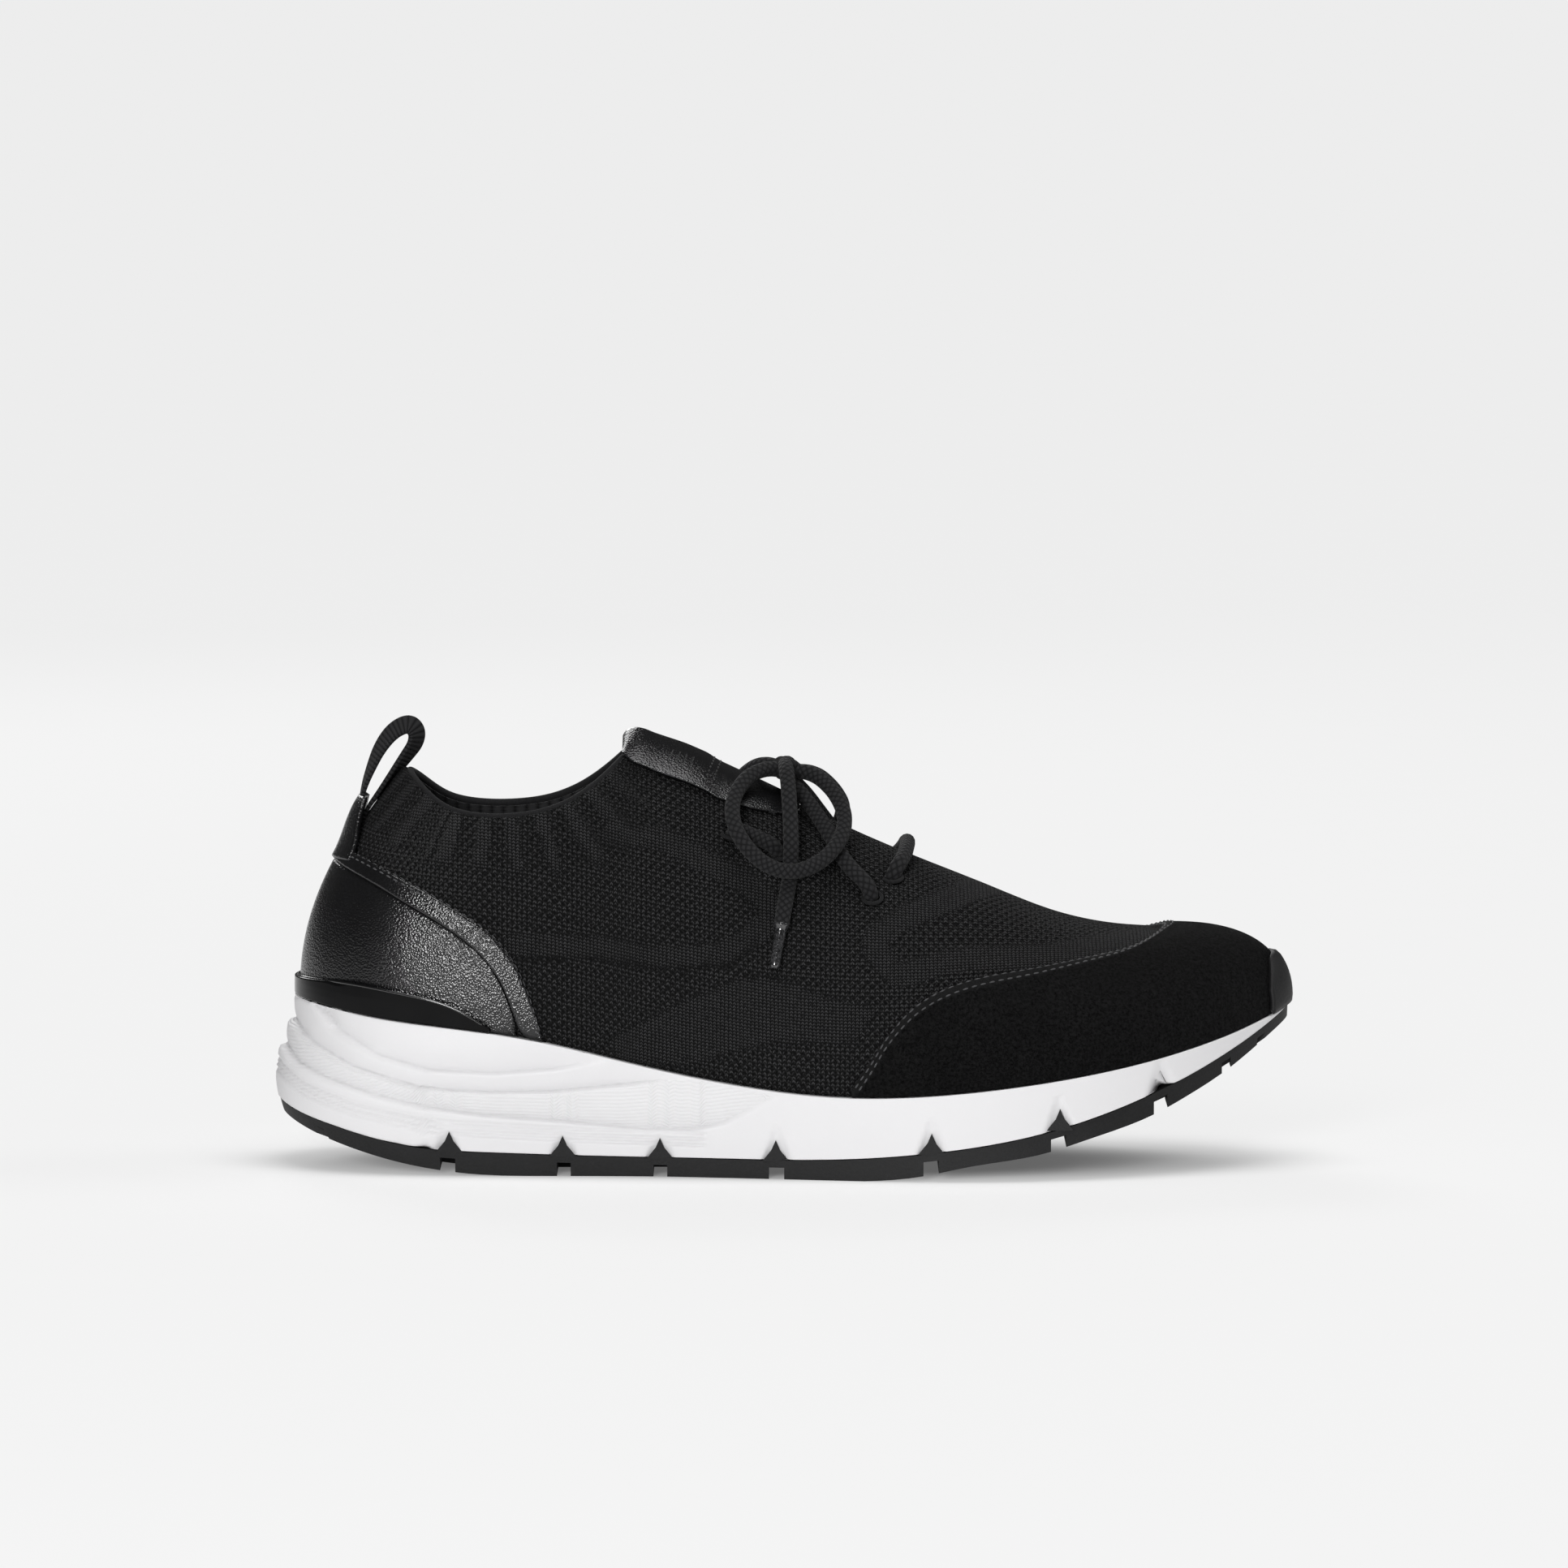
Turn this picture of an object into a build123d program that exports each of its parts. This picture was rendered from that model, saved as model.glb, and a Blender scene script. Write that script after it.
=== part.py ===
"""Right running shoe: knitted bootie upper, leather heel, suede toe cap, foam midsole, lugged rubber outsole.

Frame: millimetres, +X towards the toe, +Y towards the medial (inner) side, +Z up. The origin is on the
ground, under the middle of the shoe. Every layer of the upper is an offset of one surface, which is made of
ribs that climb from the sole's edge to the instep ridge, so neighbouring layers follow each other with a gap.
"""

from build123d import *
import os
from math import floor, radians, tan

os.makedirs("parts", exist_ok=True)

# ---- driving dimensions -------------------------------------------------------------------------------

KNIT = 2.0  # thickness of the knitted upper
GAP = 0.15  # air between two layers of the upper, so that they never share material
JOINT = 0.1  # air where a part is glued down on another
LEATHER = 1.2
SUEDE = 1.3
WELT = 1.9  # folded leather band along the heel quarter's edge
TAB = 1.5  # leather tab over the back seam
CLIP = 1.5  # moulded heel stabiliser
BUMPER = 1.6  # rubber over the tip of the toe
COUNTER = 1.4  # stiffener inside the heel
PUFF = 0.8  # stiffener inside the toe
STAY = 0.5  # backing strip under the eyelets
LINING = 2.6  # padded lining round the collar
TONGUE = 1.6  # leather patch and tab on the instep
TAB_AIR = 0.9  # air under the free tab
BOARD = 1.5  # insole board that closes the upper's bottom
FOOTBED = 4.2
TOP_CLOTH = 0.9
RUBBER = 2.2  # outsole sheet, without its lugs
LACE = 4.5  # diameter of the round lace
TAPE_WIDTH, TAPE = 9.0, 1.3  # webbing of the pull loop
EYELET = 5.4  # diameter of an eyelet in the knit

# Side-view outlines, as (x, z). They run from heel to toe.
FEATHER = [(-152, 51), (-140, 49.6), (-120, 46.3), (-92, 43), (-70, 39.6), (-42, 33), (-13, 27.3), (15, 24.4),
           (44, 25.2), (72, 28.3), (100, 32.9), (129, 39.8), (152, 47.5)]
RIDGE = [(-98, 131), (-88, 139), (-75, 142), (-62, 138), (-52, 131), (-41, 125), (-28, 120.5), (-12, 113.3),
         (8, 103.8), (30, 93.6), (58, 82.2), (79, 73.6), (93, 70), (104, 68.9), (116, 68.8)]
MIDSOLE_BOTTOM = [(-154, 26), (-147, 20), (-141, 17.2), (-134, 15), (-120, 11.2), (-106, 8.4), (-84, 6.9),
                  (-56, 6), (-20, 5.6), (15, 6), (45, 8.6), (72, 13.2), (100, 21.6), (129, 34.6), (142, 42),
                  (152, 48.5)]
COLLAR = [(-111.5, 117.6), (-105, 111.5), (-98, 106.3), (-88, 103.8), (-77, 103.8), (-67, 105.6), (-58, 109.6),
          (-50, 115.6), (-44, 121.5)]
HEEL_EDGE = [(-131, 94.3), (-122, 91.3), (-110, 86), (-101, 81.4), (-92, 76.2), (-85.5, 71.8), (-79.5, 65.8),
             (-74, 56), (-71, 48), (-68.5, 38)]
WELT_EDGE = [(-132.5, 90.5), (-126, 87.8), (-118, 84.2), (-110, 79.8), (-101, 74.8), (-92, 69), (-86, 63.7),
             (-81, 56.4), (-77.5, 47), (-75, 38.5)]
TOE_EDGE = [(17, 22), (23.7, 31.6), (30.4, 41.3), (36, 48), (44, 53.8), (54, 57.6), (72, 60.6), (92, 63.6),
            (103, 65.6), (114.5, 70.5)]

# Ribs of the upper round the sole's edge, from the heel along the lateral side to the toe and back along the
# medial side: where the rib starts (x, y), the x of the ridge point it climbs to, and the shape between them:
# rise (height of the lower handle), reach (width of the upper handle), drop (its depth below the ridge) as
# shares of the rib's height or width, and bulge in millimetres.
RIBS = [
    (-139.5, 0.0, -97, 0.35, 0.64, 0.37, 1.0),
    (-133, -19, -95, 0.34, 0.68, 0.36, 1.5),
    (-116, -31, -89, 0.32, 0.76, 0.30, 2.0),
    (-90, -36, -78, 0.30, 0.84, 0.24, 2.0),
    (-58, -37, -62, 0.32, 0.80, 0.20, 2.0),
    (-22, -39.5, -38, 0.36, 0.62, 0.09, 2.0),
    (16, -46, 4, 0.40, 0.54, 0.02, 2.0),
    (48, -50.5, 42, 0.46, 0.54, 0.0, 1.8),
    (78, -49.5, 74, 0.55, 0.56, 0.0, 1.6),
    (104, -42, 94, 0.62, 0.58, 0.0, 1.4),
    (126, -28, 106, 0.66, 0.60, 0.0, 1.4),
    (141, -11, 113, 0.70, 0.60, 0.0, 1.6),
    (147, 5, 115, 0.72, 0.60, 0.0, 1.8),
    (143, 20, 113, 0.70, 0.60, 0.0, 1.6),
    (128, 34, 106, 0.66, 0.60, 0.0, 1.4),
    (106, 44.2, 94, 0.62, 0.58, 0.0, 1.4),
    (80, 48.5, 74, 0.55, 0.56, 0.0, 1.6),
    (50, 46.2, 42, 0.46, 0.54, 0.0, 1.8),
    (16, 38, 4, 0.40, 0.54, 0.02, 2.0),
    (-22, 32, -38, 0.36, 0.62, 0.09, 2.0),
    (-58, 32.5, -62, 0.32, 0.80, 0.20, 2.0),
    (-90, 34.5, -78, 0.30, 0.84, 0.24, 2.0),
    (-116, 30, -89, 0.32, 0.76, 0.30, 2.0),
    (-133, 18.5, -95, 0.34, 0.68, 0.36, 1.5),
]
TOE_RIB = 12  # the rib at the toe's tip; rib 0 is the heel's

STEPS = 4  # flat steps of the surface from one rib to the next
SKIRT = -0.04  # where the ribs start, a little below the sole's edge, to be trimmed there
REACH = 90  # half width of the blocks that trim the layers
TOP = 190

# More side-view outlines, as (x, z).
COUNTER_EDGE = [(-150, 84), (-125, 83), (-105, 76), (-88, 64), (-76, 50), (-68, 34)]
LINING_EDGE = [(-150, 80), (-125, 79), (-105, 71), (-88, 62), (-78, 64), (-66, 72), (-46, 84)]
PUFF_EDGE = [(92, 20), (97, 40), (104, 58), (113, 72)]
CLIP_EDGE = [(-152, 54.5), (-140, 55.4), (-126, 55.6), (-110, 53.2), (-97, 50.2), (-88.5, 46), (-82, 41.5)]
FOOT_BED = [(-150, 44), (-132, 38), (-115, 34), (-90, 31), (-60, 28.6), (-30, 25.5), (0, 22.5), (30, 21.5),
            (60, 22.8), (90, 26.4), (115, 32), (135, 39.5), (152, 47)]
LUG_BOTTOM = [(-154, 23), (-147, 16.8), (-139, 12.6), (-123, 6.9), (-112, 4), (-99, 1.6), (-86, 0.3), (-70, 0),
              (-20, 0), (24, 0), (40, 1.6), (54, 4.6), (76, 8.4), (88, 12), (107, 18.2), (118, 23.4), (129, 29.4),
              (140.5, 37.2), (152, 44.6)]

# How far the sole stands out past the upper's edge, at five heights: the height, then (x, width) pairs.
SOLE_FLARE = [
    (-8, [(-150, 0.5), (-110, 0.5), (-50, -0.5), (40, 0.5), (100, 0.0), (150, -3.0)]),
    (14, [(-150, 6.5), (-110, 4.5), (-50, 2.2), (40, 2.6), (100, 2.0), (150, -1.0)]),
    (28, [(-150, 9.0), (-110, 6.6), (-50, 3.2), (40, 2.0), (100, 1.8), (150, 0.6)]),
    (40, [(-150, 6.0), (-110, 4.8), (-50, 2.8), (40, 1.4), (100, 1.5), (150, 1.9)]),
    (52, [(-150, 3.2), (-110, 3.4), (-50, 2.4), (40, 1.4), (100, 1.5), (150, 2.2)]),
]
FLEX_GROOVES = [(-96.6, 4.4), (-62.9, 4.0), (-34.9, 4.0), (-1.2, 4.4), (43.4, 4.4), (80.2, 4.4), (110, 4.0),
                (129.5, 2.6)]  # where the outsole is cut across, and the width of each cut
RUNNERS = [(-20, 3.0), (4, 4.0), (26, 3.0)]  # cuts along the outsole: their distance from its middle, and width
SPINE = (-15, -3)  # rubber along the middle that no cross cut reaches
RECESS = 5.0  # width of the rim that the upper stands on, measured in from the upper's edge
INSOLE_GAP = 0.4

PULL_LOOP = [(-122.4, 104.6), (-121.6, 109.8), (-119.6, 115.4), (-117, 121.8), (-113.3, 126.6), (-108.7, 128.9),
             (-106.4, 126.6), (-107.2, 123), (-110.2, 118.9), (-114.2, 114), (-118, 109.2)]
# Eyelets of the lateral side, as places on the upper's surface. The medial ones mirror them.
EYELETS = [(6.7, 0.73), (6.5, 0.61), (5.8, 0.65), (5.5, 0.67)]

KNOT_CENTRE, KNOT_SIZE = (2, -2, 115.3), (7.5, 7.5, 5.8)  # the bow's knot, and its half sizes
AGLET, AGLET_LENGTH = 3.2, 12.8  # diameter and length of the clear tips of the lace

# The lace's route, through the eyelets and along the bow. Each stretch is a list of corners, rounded later.
LACE_ROUTES = {
    "lace_front_bar": [(31.4, -18, 82.4), (33.3, -22, 88.1), (36, -14.5, 91.1), (36.8, -7, 93.3), (37.2, 1, 94.1),
                       (36.8, 8.6, 93.4), (36, 14.6, 91.1), (33.4, 21.2, 88), (31.9, 16.6, 82.5)],
    "lace_strand_lateral": [(25.8, -25.2, 77.9), (27.1, -30.6, 82.8), (19, -26, 89.8), (15, -19.5, 96.7),
                            (11, -12.6, 102.6), (6.5, -7.8, 108.4), (3, -4.4, 111.6)],
    "lace_strand_medial": [(26.5, 21.9, 78.1), (27.1, 27.8, 82.5), (19.2, 23.4, 89.3), (15.4, 17.5, 96.1),
                           (11, 11, 102.4), (6.8, 5, 108.6), (3.4, 1, 112)],
    "lace_side_bar_lateral": [(-1.5, -21.3, 90.2), (-0.2, -27.1, 94.7), (-7.1, -26.3, 97.7), (-13.6, -25.5, 100.7),
                              (-14.8, -19.6, 96.2)],
    "lace_side_bar_medial": [(-1.4, 16.9, 90.4), (-0.3, 23.1, 94.4), (-7.1, 22.5, 97.6), (-13.7, 21.6, 100.5),
                             (-14.7, 15.3, 96.5)],
    "lace_loop_lateral": [(3, -3, 114), (-1.5, -5, 116.6), (-9.5, -13.2, 115), (-14.4, -21.8, 108.2),
                          (-13.6, -31.4, 100.6), (-7, -35.8, 92), (1.5, -37.4, 88.2), (10.2, -34.4, 90),
                          (17.2, -27, 96), (19.2, -18.5, 103), (15.6, -11, 110), (8.8, -5.5, 115.4), (3.6, -3, 115)],
    "lace_loop_medial": [(2.4, -1, 114), (-2.4, 3.6, 117), (-8.8, 11, 115), (-13.8, 19.4, 108.4),
                         (-13.2, 28.2, 101), (-7, 31.8, 92), (1.5, 33.7, 88.2), (10, 31, 90.2),
                         (17, 24.6, 96), (18.8, 17, 103), (15, 10, 109.6), (9, 4, 114.8), (3.6, -1.5, 114.6)],
    "lace_end_lateral": [(1.2, -3.5, 117), (1.6, -10.6, 117), (2.4, -18.4, 110), (3.1, -29.8, 98), (2.8, -31.8, 87),
                         (1.27, -36.86, 79.4), (0.2, -38.8, 73.2)],
    "lace_end_medial": [(1.2, -1.5, 117), (2.8, 6.8, 117.2), (2.4, 14.4, 110), (3.1, 25.8, 98), (2.8, 27.4, 87),
                        (1.18, 31.15, 79.46), (0.2, 33, 73.2)],
}

# ---- the upper's surface ------------------------------------------------------------------------------


def tangent(points, i):
    """Slope of the smooth curve through points at point i."""
    low, high = max(i - 1, 0), min(i + 1, len(points) - 1)
    return (points[high][1] - points[low][1]) / (points[high][0] - points[low][0])


def at(points, x):
    """Height at x of the smooth curve through points, which continues straight past its ends."""
    if x <= points[0][0]:
        return points[0][1] + (x - points[0][0]) * tangent(points, 0)
    if x >= points[-1][0]:
        return points[-1][1] + (x - points[-1][0]) * tangent(points, len(points) - 1)
    i = max(k for k in range(len(points) - 1) if points[k][0] <= x)
    (x0, z0), (x1, z1) = points[i], points[i + 1]
    step = x1 - x0
    t = (x - x0) / step
    m0, m1 = tangent(points, i) * step, tangent(points, i + 1) * step
    return ((2 * t**3 - 3 * t**2 + 1) * z0 + (t**3 - 2 * t**2 + t) * m0
            + (3 * t**2 - 2 * t**3) * z1 + (t**3 - t**2) * m1)


def rib(u):
    """The rib's numbers at u, a place between ribs, on a smooth closed loop."""
    i, t = floor(u), u - floor(u)
    a, b, c, d = (RIBS[(i + k) % len(RIBS)] for k in (-1, 0, 1, 2))
    return [0.5 * (2 * q + (r - p) * t + (2 * p - 5 * q + 4 * r - s) * t**2 + (3 * q - p - 3 * r + s) * t**3)
            for p, q, r, s in zip(a, b, c, d)]


def outward(u):
    """Unit vector in plan that points out of the shoe at rib place u."""
    (x0, y0), (x1, y1) = rib(u - 0.02)[:2], rib(u + 0.02)[:2]
    along = Vector(x1 - x0, y1 - y0).normalized()
    return Vector(along.Y, -along.X)


def share(value, low, high):
    """0 below low, 1 above high and straight between."""
    return min(1.0, max(0.0, (value - low) / (high - low)))


def surface(u, v):
    """Point of the knit's outer surface: u goes round the sole's edge, v climbs from 0 there to 1 on the ridge."""
    x, y, ridge_x, rise, reach, drop, bulge = rib(u)
    foot = Vector(x, y, at(FEATHER, x))
    top = Vector(ridge_x, 4 * share(ridge_x, 0, 115), at(RIDGE, ridge_x))
    height = top.Z - foot.Z
    lean = Vector(foot.X - top.X, foot.Y - top.Y)
    along = max(share(ridge_x, 60, 100), share(-ridge_x, 62, 84))
    arrival = Vector(lean.X * along, lean.Y).normalized()
    low_handle = foot + outward(u) * bulge + Vector(0, 0, rise * height)
    high_handle = top + arrival * (reach * lean.length) - Vector(0, 0, drop * height)
    return (foot * (1 - v)**3 + low_handle * (3 * v * (1 - v)**2)
            + high_handle * (3 * v**2 * (1 - v)) + top * v**3)


def layer_point(u, v, depth):
    """Point at depth outside (or, if negative, inside) the knit's outer surface."""
    if v > 0.999:
        ridge_x = rib(u)[2]
        slope = (at(RIDGE, ridge_x + 1) - at(RIDGE, ridge_x - 1)) / 2
        return surface(u, 1) + Vector(-slope, 0, 1).normalized() * depth
    across = surface(u + 0.02, v) - surface(u - 0.02, v)
    up = surface(u, v + 0.004) - surface(u, v - 0.004)
    return surface(u, v) + across.cross(up).normalized() * depth


# ---- solids -------------------------------------------------------------------------------------------


def rib_curve(u, depth):
    """Smooth edge up the rib at u, from just below the sole's edge to the ridge, at a depth of the upper."""
    places = [k / 9 for k in range(10)]
    points = [layer_point(u, SKIRT + (1 - SKIRT) * place, depth) for place in places]
    return Edge.make_spline(points, parameters=places)


def rib_section(u, outer, inner):
    """Open wire of a layer's wall: down the outside of a rib, across its foot and up the inside."""
    outside, inside = rib_curve(u % len(RIBS), outer), rib_curve(u % len(RIBS), inner)
    return Wire([outside, Edge.make_line(outside @ 0, inside @ 0), inside])


def shell(outer, inner):
    """A whole layer of the upper, closed over the foot opening."""
    count = len(RIBS) * STEPS
    walls = Shell.make_loft([rib_section(k / STEPS, outer, inner) for k in range(count + 1)], ruled=True)
    return Solid(Shell(walls.faces()))


def loft_section(level, flare):
    """The sole's plan at one height."""
    points = []
    for u in range(len(RIBS)):
        x, y = rib(u)[:2]
        points.append(Vector(x, y, level) + outward(u) * at(flare, x))
    return Wire([Edge.make_spline(points, periodic=True)])


def sidewall(inset):
    """The sole's flared sides, closed above and below, less an inset all round."""
    flares = [(level, [(x, width - inset) for x, width in flare]) for level, flare in SOLE_FLARE]
    return Solid.make_loft([loft_section(level, flare) for level, flare in flares])


def column(inset):
    """Upright block with the plan of the upper's edge, less an inset all round."""
    base = loft_section(-REACH, [(-150, -inset), (150, -inset)])
    return extrude(Face(base), amount=TOP + REACH, dir=(0, 0, 1))


def curve(points):
    """Smooth edge in the side plane through (x, z) points."""
    return Edge.make_spline([Vector(x, 0, z) for x, z in points])


def side_block(points, corners):
    """Block across the shoe whose side view is a smooth edge through points, closed by straight lines."""
    ends = [points[-1], *corners, points[0]]
    lines = [Edge.make_line(Vector(a[0], 0, a[1]), Vector(b[0], 0, b[1])) for a, b in zip(ends, ends[1:])]
    face = Face(Wire([curve(points), *lines]))
    return extrude(face, amount=REACH, dir=(0, 1, 0), both=True)


def shifted(points, dz):
    """The same outline, higher."""
    return [(x, z + dz) for x, z in points]


def above(points):
    """Everything above a curve."""
    return side_block(points, [(points[-1][0], TOP), (points[0][0], TOP)])


def below(points):
    """Everything below a curve."""
    return side_block(points, [(points[-1][0], -REACH), (points[0][0], -REACH)])


def band(lower, upper):
    """Everything between two curves."""
    return below(upper) & above(lower)


def slab(x0, x1, z0=-REACH, z1=TOP):
    """Everything between two places along the shoe."""
    return Pos((x0 + x1) / 2, 0, (z0 + z1) / 2) * Box(x1 - x0, 2 * REACH, z1 - z0)


def eyelet_holes(side):
    """Pins through the upper where the lace passes, of the lateral (0) or medial (1) side."""
    pins = []
    for u, v in EYELETS:
        u = len(RIBS) - u if side else u
        outside, inside = layer_point(u, v, 4), layer_point(u, v, -7)
        plane = Plane(origin=inside, z_dir=outside - inside)
        pins.append(plane * Cylinder(EYELET / 2, 11, align=(Align.CENTER, Align.CENTER, Align.MIN)))
    return pins


# ---- upper --------------------------------------------------------------------------------------------


def knit_upper():
    """One-piece knitted bootie with its collar opening and eyelets."""
    mouth = side_block([(-119, 122), *COLLAR, (-38.5, 128)], [(-38.5, TOP), (-119, TOP)])
    return (shell(0, -KNIT) & above(shifted(FEATHER, JOINT))) - mouth - eyelet_holes(0) - eyelet_holes(1)


def heel_leather():
    """Leather quarter round the heel, up to the welt."""
    region = side_block([(-160, 88), *WELT_EDGE], [(-75, 10), (-160, 10)])
    return shell(GAP, GAP + LEATHER) & above(shifted(FEATHER, JOINT)) & region


def heel_welt():
    """Folded leather band along the quarter's edge."""
    upper = side_block([(-160, 92), *HEEL_EDGE], [(-68.5, 10), (-160, 10)])
    lower = side_block(shifted([(-160, 88), *WELT_EDGE], JOINT), [(-75 + JOINT, 10), (-160, 10)])
    return (shell(GAP, GAP + WELT) & above(shifted(FEATHER, JOINT)) & upper) - lower


def heel_tab():
    """Leather tab over the back seam, between the welt and the collar."""
    over_welt = side_block(shifted([(-160, 92), *HEEL_EDGE], JOINT), [(-68.5, TOP), (-160, TOP)])
    region = slab(-150, -122.6, 80, 106.6)
    return shell(GAP, GAP + TAB) & over_welt & region


def toe_cap():
    """Suede overlay round the forefoot and the toe."""
    region = side_block([*TOE_EDGE, (130, 84)], [(170, 84), (170, 10), (17, 10)])
    return shell(GAP, GAP + SUEDE) & above(shifted(FEATHER, JOINT)) & region


def toe_bumper():
    """Rubber bumper that wraps up over the tip of the toe."""
    low = 2 * GAP + SUEDE
    return shell(low, low + BUMPER) & above(shifted(FEATHER, JOINT)) & slab(143.6, 160, 20, 61.5)


def heel_clip():
    """Moulded stabiliser round the heel, standing on the midsole's edge."""
    low = 2 * GAP + LEATHER
    region = side_block([*CLIP_EDGE], [(-82, 10), (-152, 10)])
    return shell(low, low + CLIP) & above(shifted(FEATHER, JOINT)) & region


def heel_counter():
    """Stiffener inside the heel."""
    region = side_block([*COUNTER_EDGE], [(-68, 10), (-150, 10)])
    return shell(-KNIT - GAP, -KNIT - GAP - COUNTER) & above(shifted(FEATHER, 2 * JOINT)) & region


def collar_lining():
    """Padded lining round the collar."""
    ring = side_block([(-119, 120), *shifted(COLLAR, -1.0), (-38.5, 126)], [(-38.5, TOP), (-119, TOP)])
    counter = side_block(shifted(COUNTER_EDGE, 3 * GAP), [(-68, 10), (-150, 10)])
    region = above(LINING_EDGE) & slab(-150, -46)
    return (shell(-KNIT - GAP, -KNIT - GAP - LINING) & region) - ring - counter


def toe_puff():
    """Stiffener inside the toe."""
    region = side_block([*PUFF_EDGE], [(170, 72), (170, 20)])
    return shell(-KNIT - GAP, -KNIT - GAP - PUFF) & above(shifted(FEATHER, 2 * JOINT)) & region


def eyelet_stay(side):
    """Backing strip under the eyelets of one side."""
    sign = 1 if side else -1
    strip = Pos(9, sign * 24, 90) * Box(62, 22, 60)
    return (shell(-KNIT - GAP, -KNIT - GAP - STAY) & strip) - eyelet_holes(side)


def plan_block(points):
    """Upright block with a straight-sided plan."""
    return extrude(Pos(0, 0, 40) * make_face(Polyline(*points, close=True)), amount=TOP - 40)


def tongue_patch():
    """Leather patch sewn down over the instep, under the knot."""
    plan = plan_block([(-19.6, -18), (-8, -17), (2, -14), (6, -9), (6, 9), (2, 14), (-8, 17), (-19.6, 18)])
    return shell(GAP, GAP + TONGUE) & plan


def tongue_tab():
    """Free upper end of the leather patch, which lifts about the seam behind the knot."""
    plan = plan_block([(-20.4, -17.5), (-43, -15.5), (-46.5, -12), (-46.5, 12), (-43, 15.5), (-20.4, 17.5)])
    return shell(TAB_AIR, TAB_AIR + TONGUE) & plan


def pull_loop():
    """Webbing loop that stands up from the back of the collar."""
    centre = curve(PULL_LOOP)
    places = [k / 24 for k in range(25)]
    out, back = ([centre @ t + (centre % t).cross(Vector(0, side, 0)) * (TAPE / 2) for t in places]
                 for side in (1, -1))
    edges = [Edge.make_spline(out), Edge.make_line(out[-1], back[-1]), Edge.make_spline(back[::-1]),
             Edge.make_line(back[0], out[0])]
    return extrude(Face(Wire(edges)), amount=TAPE_WIDTH / 2, dir=(0, 1, 0), both=True)


# ---- lace ---------------------------------------------------------------------------------------------


def corner_radius(before, corner, after):
    """Largest arc that rounds a corner with room left for its neighbours."""
    back, on = Vector(before) - Vector(corner), Vector(after) - Vector(corner)
    half_turn = radians(180 - back.get_angle(on)) / 2
    return 0.45 * min(back.length, on.length) / tan(half_turn)


def lace(route):
    """Round tube of lace along a rounded route, clear of the knot."""
    radii = [corner_radius(*route[k:k + 3]) for k in range(len(route) - 2)]
    path = FilletPolyline(*route, radius=radii)
    tube = sweep(Plane(origin=path @ 0, z_dir=path % 0) * Circle(LACE / 2), path=path)
    return tube - knot()


def knot():
    """Body of the bow's knot."""
    return Pos(*KNOT_CENTRE) * scale(Sphere(1), by=KNOT_SIZE)


def aglet(route):
    """Clear tip round the lace's end."""
    before, end = Vector(route[-2]), Vector(route[-1])
    tip = Cylinder(AGLET / 2, AGLET_LENGTH, align=(Align.CENTER, Align.CENTER, Align.MIN))
    return Plane(origin=end, z_dir=end - before) * tip


# ---- sole ---------------------------------------------------------------------------------------------


def midsole():
    """Foam midsole: its rim carries the upper, and the insole board lies in its recess."""
    body = sidewall(0) & band(MIDSOLE_BOTTOM, FEATHER)
    return body - (column(RECESS) & above(FOOT_BED))


def outsole():
    """Rubber outsole: a sheet under the midsole with lugs cut by grooves."""
    rubber = sidewall(0.5) & band(LUG_BOTTOM, shifted(MIDSOLE_BOTTOM, -JOINT)) & slab(-TOP, TOP, 0, TOP)
    spine = Pos(0, sum(SPINE) / 2, 0) * Box(2 * TOP, SPINE[1] - SPINE[0], 2 * TOP)
    cuts = [slab(x - width / 2, x + width / 2) - spine for x, width in FLEX_GROOVES]
    cuts += [Pos(-20, y, 0) * Rot(0, 0, 2) * Box(2 * TOP, width, 2 * TOP) for y, width in RUNNERS]
    lugs_only = below(shifted(MIDSOLE_BOTTOM, -RUBBER))
    return rubber - [cut & lugs_only for cut in cuts]


def insole_part(low, high):
    """A layer that lies in the midsole's recess, between two heights above the foot bed."""
    return column(RECESS + INSOLE_GAP) & band(shifted(FOOT_BED, low + JOINT), shifted(FOOT_BED, high))


NODES = {
    "knit_upper": knit_upper,
    "heel_leather": heel_leather,
    "heel_welt": heel_welt,
    "heel_tab": heel_tab,
    "toe_cap": toe_cap,
    "toe_bumper": toe_bumper,
    "heel_clip": heel_clip,
    "heel_counter": heel_counter,
    "collar_lining": collar_lining,
    "toe_puff": toe_puff,
    "eyelet_stay_lateral": lambda: eyelet_stay(0),
    "eyelet_stay_medial": lambda: eyelet_stay(1),
    "tongue_patch": tongue_patch,
    "tongue_tab": tongue_tab,
    "pull_loop": pull_loop,
    "lace_knot": knot,
    "aglet_lateral": lambda: aglet(LACE_ROUTES["lace_end_lateral"]),
    "aglet_medial": lambda: aglet(LACE_ROUTES["lace_end_medial"]),
    "midsole": midsole,
    "outsole": outsole,
    "insole_board": lambda: insole_part(0, BOARD),
    "insole_foam": lambda: insole_part(BOARD, BOARD + FOOTBED),
    "insole_top_cloth": lambda: insole_part(BOARD + FOOTBED, BOARD + FOOTBED + TOP_CLOTH),
}

for name, make in NODES.items():
    export_step(make(), f"parts/{name}.step")
for name, route in LACE_ROUTES.items():
    export_step(lace(route), f"parts/{name}.step")
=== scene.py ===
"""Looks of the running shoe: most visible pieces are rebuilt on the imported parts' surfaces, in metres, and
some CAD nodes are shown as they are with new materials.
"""

import math
from itertools import groupby

import bmesh
import bpy
import numpy as np
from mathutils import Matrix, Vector
from mathutils.bvhtree import BVHTree


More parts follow.
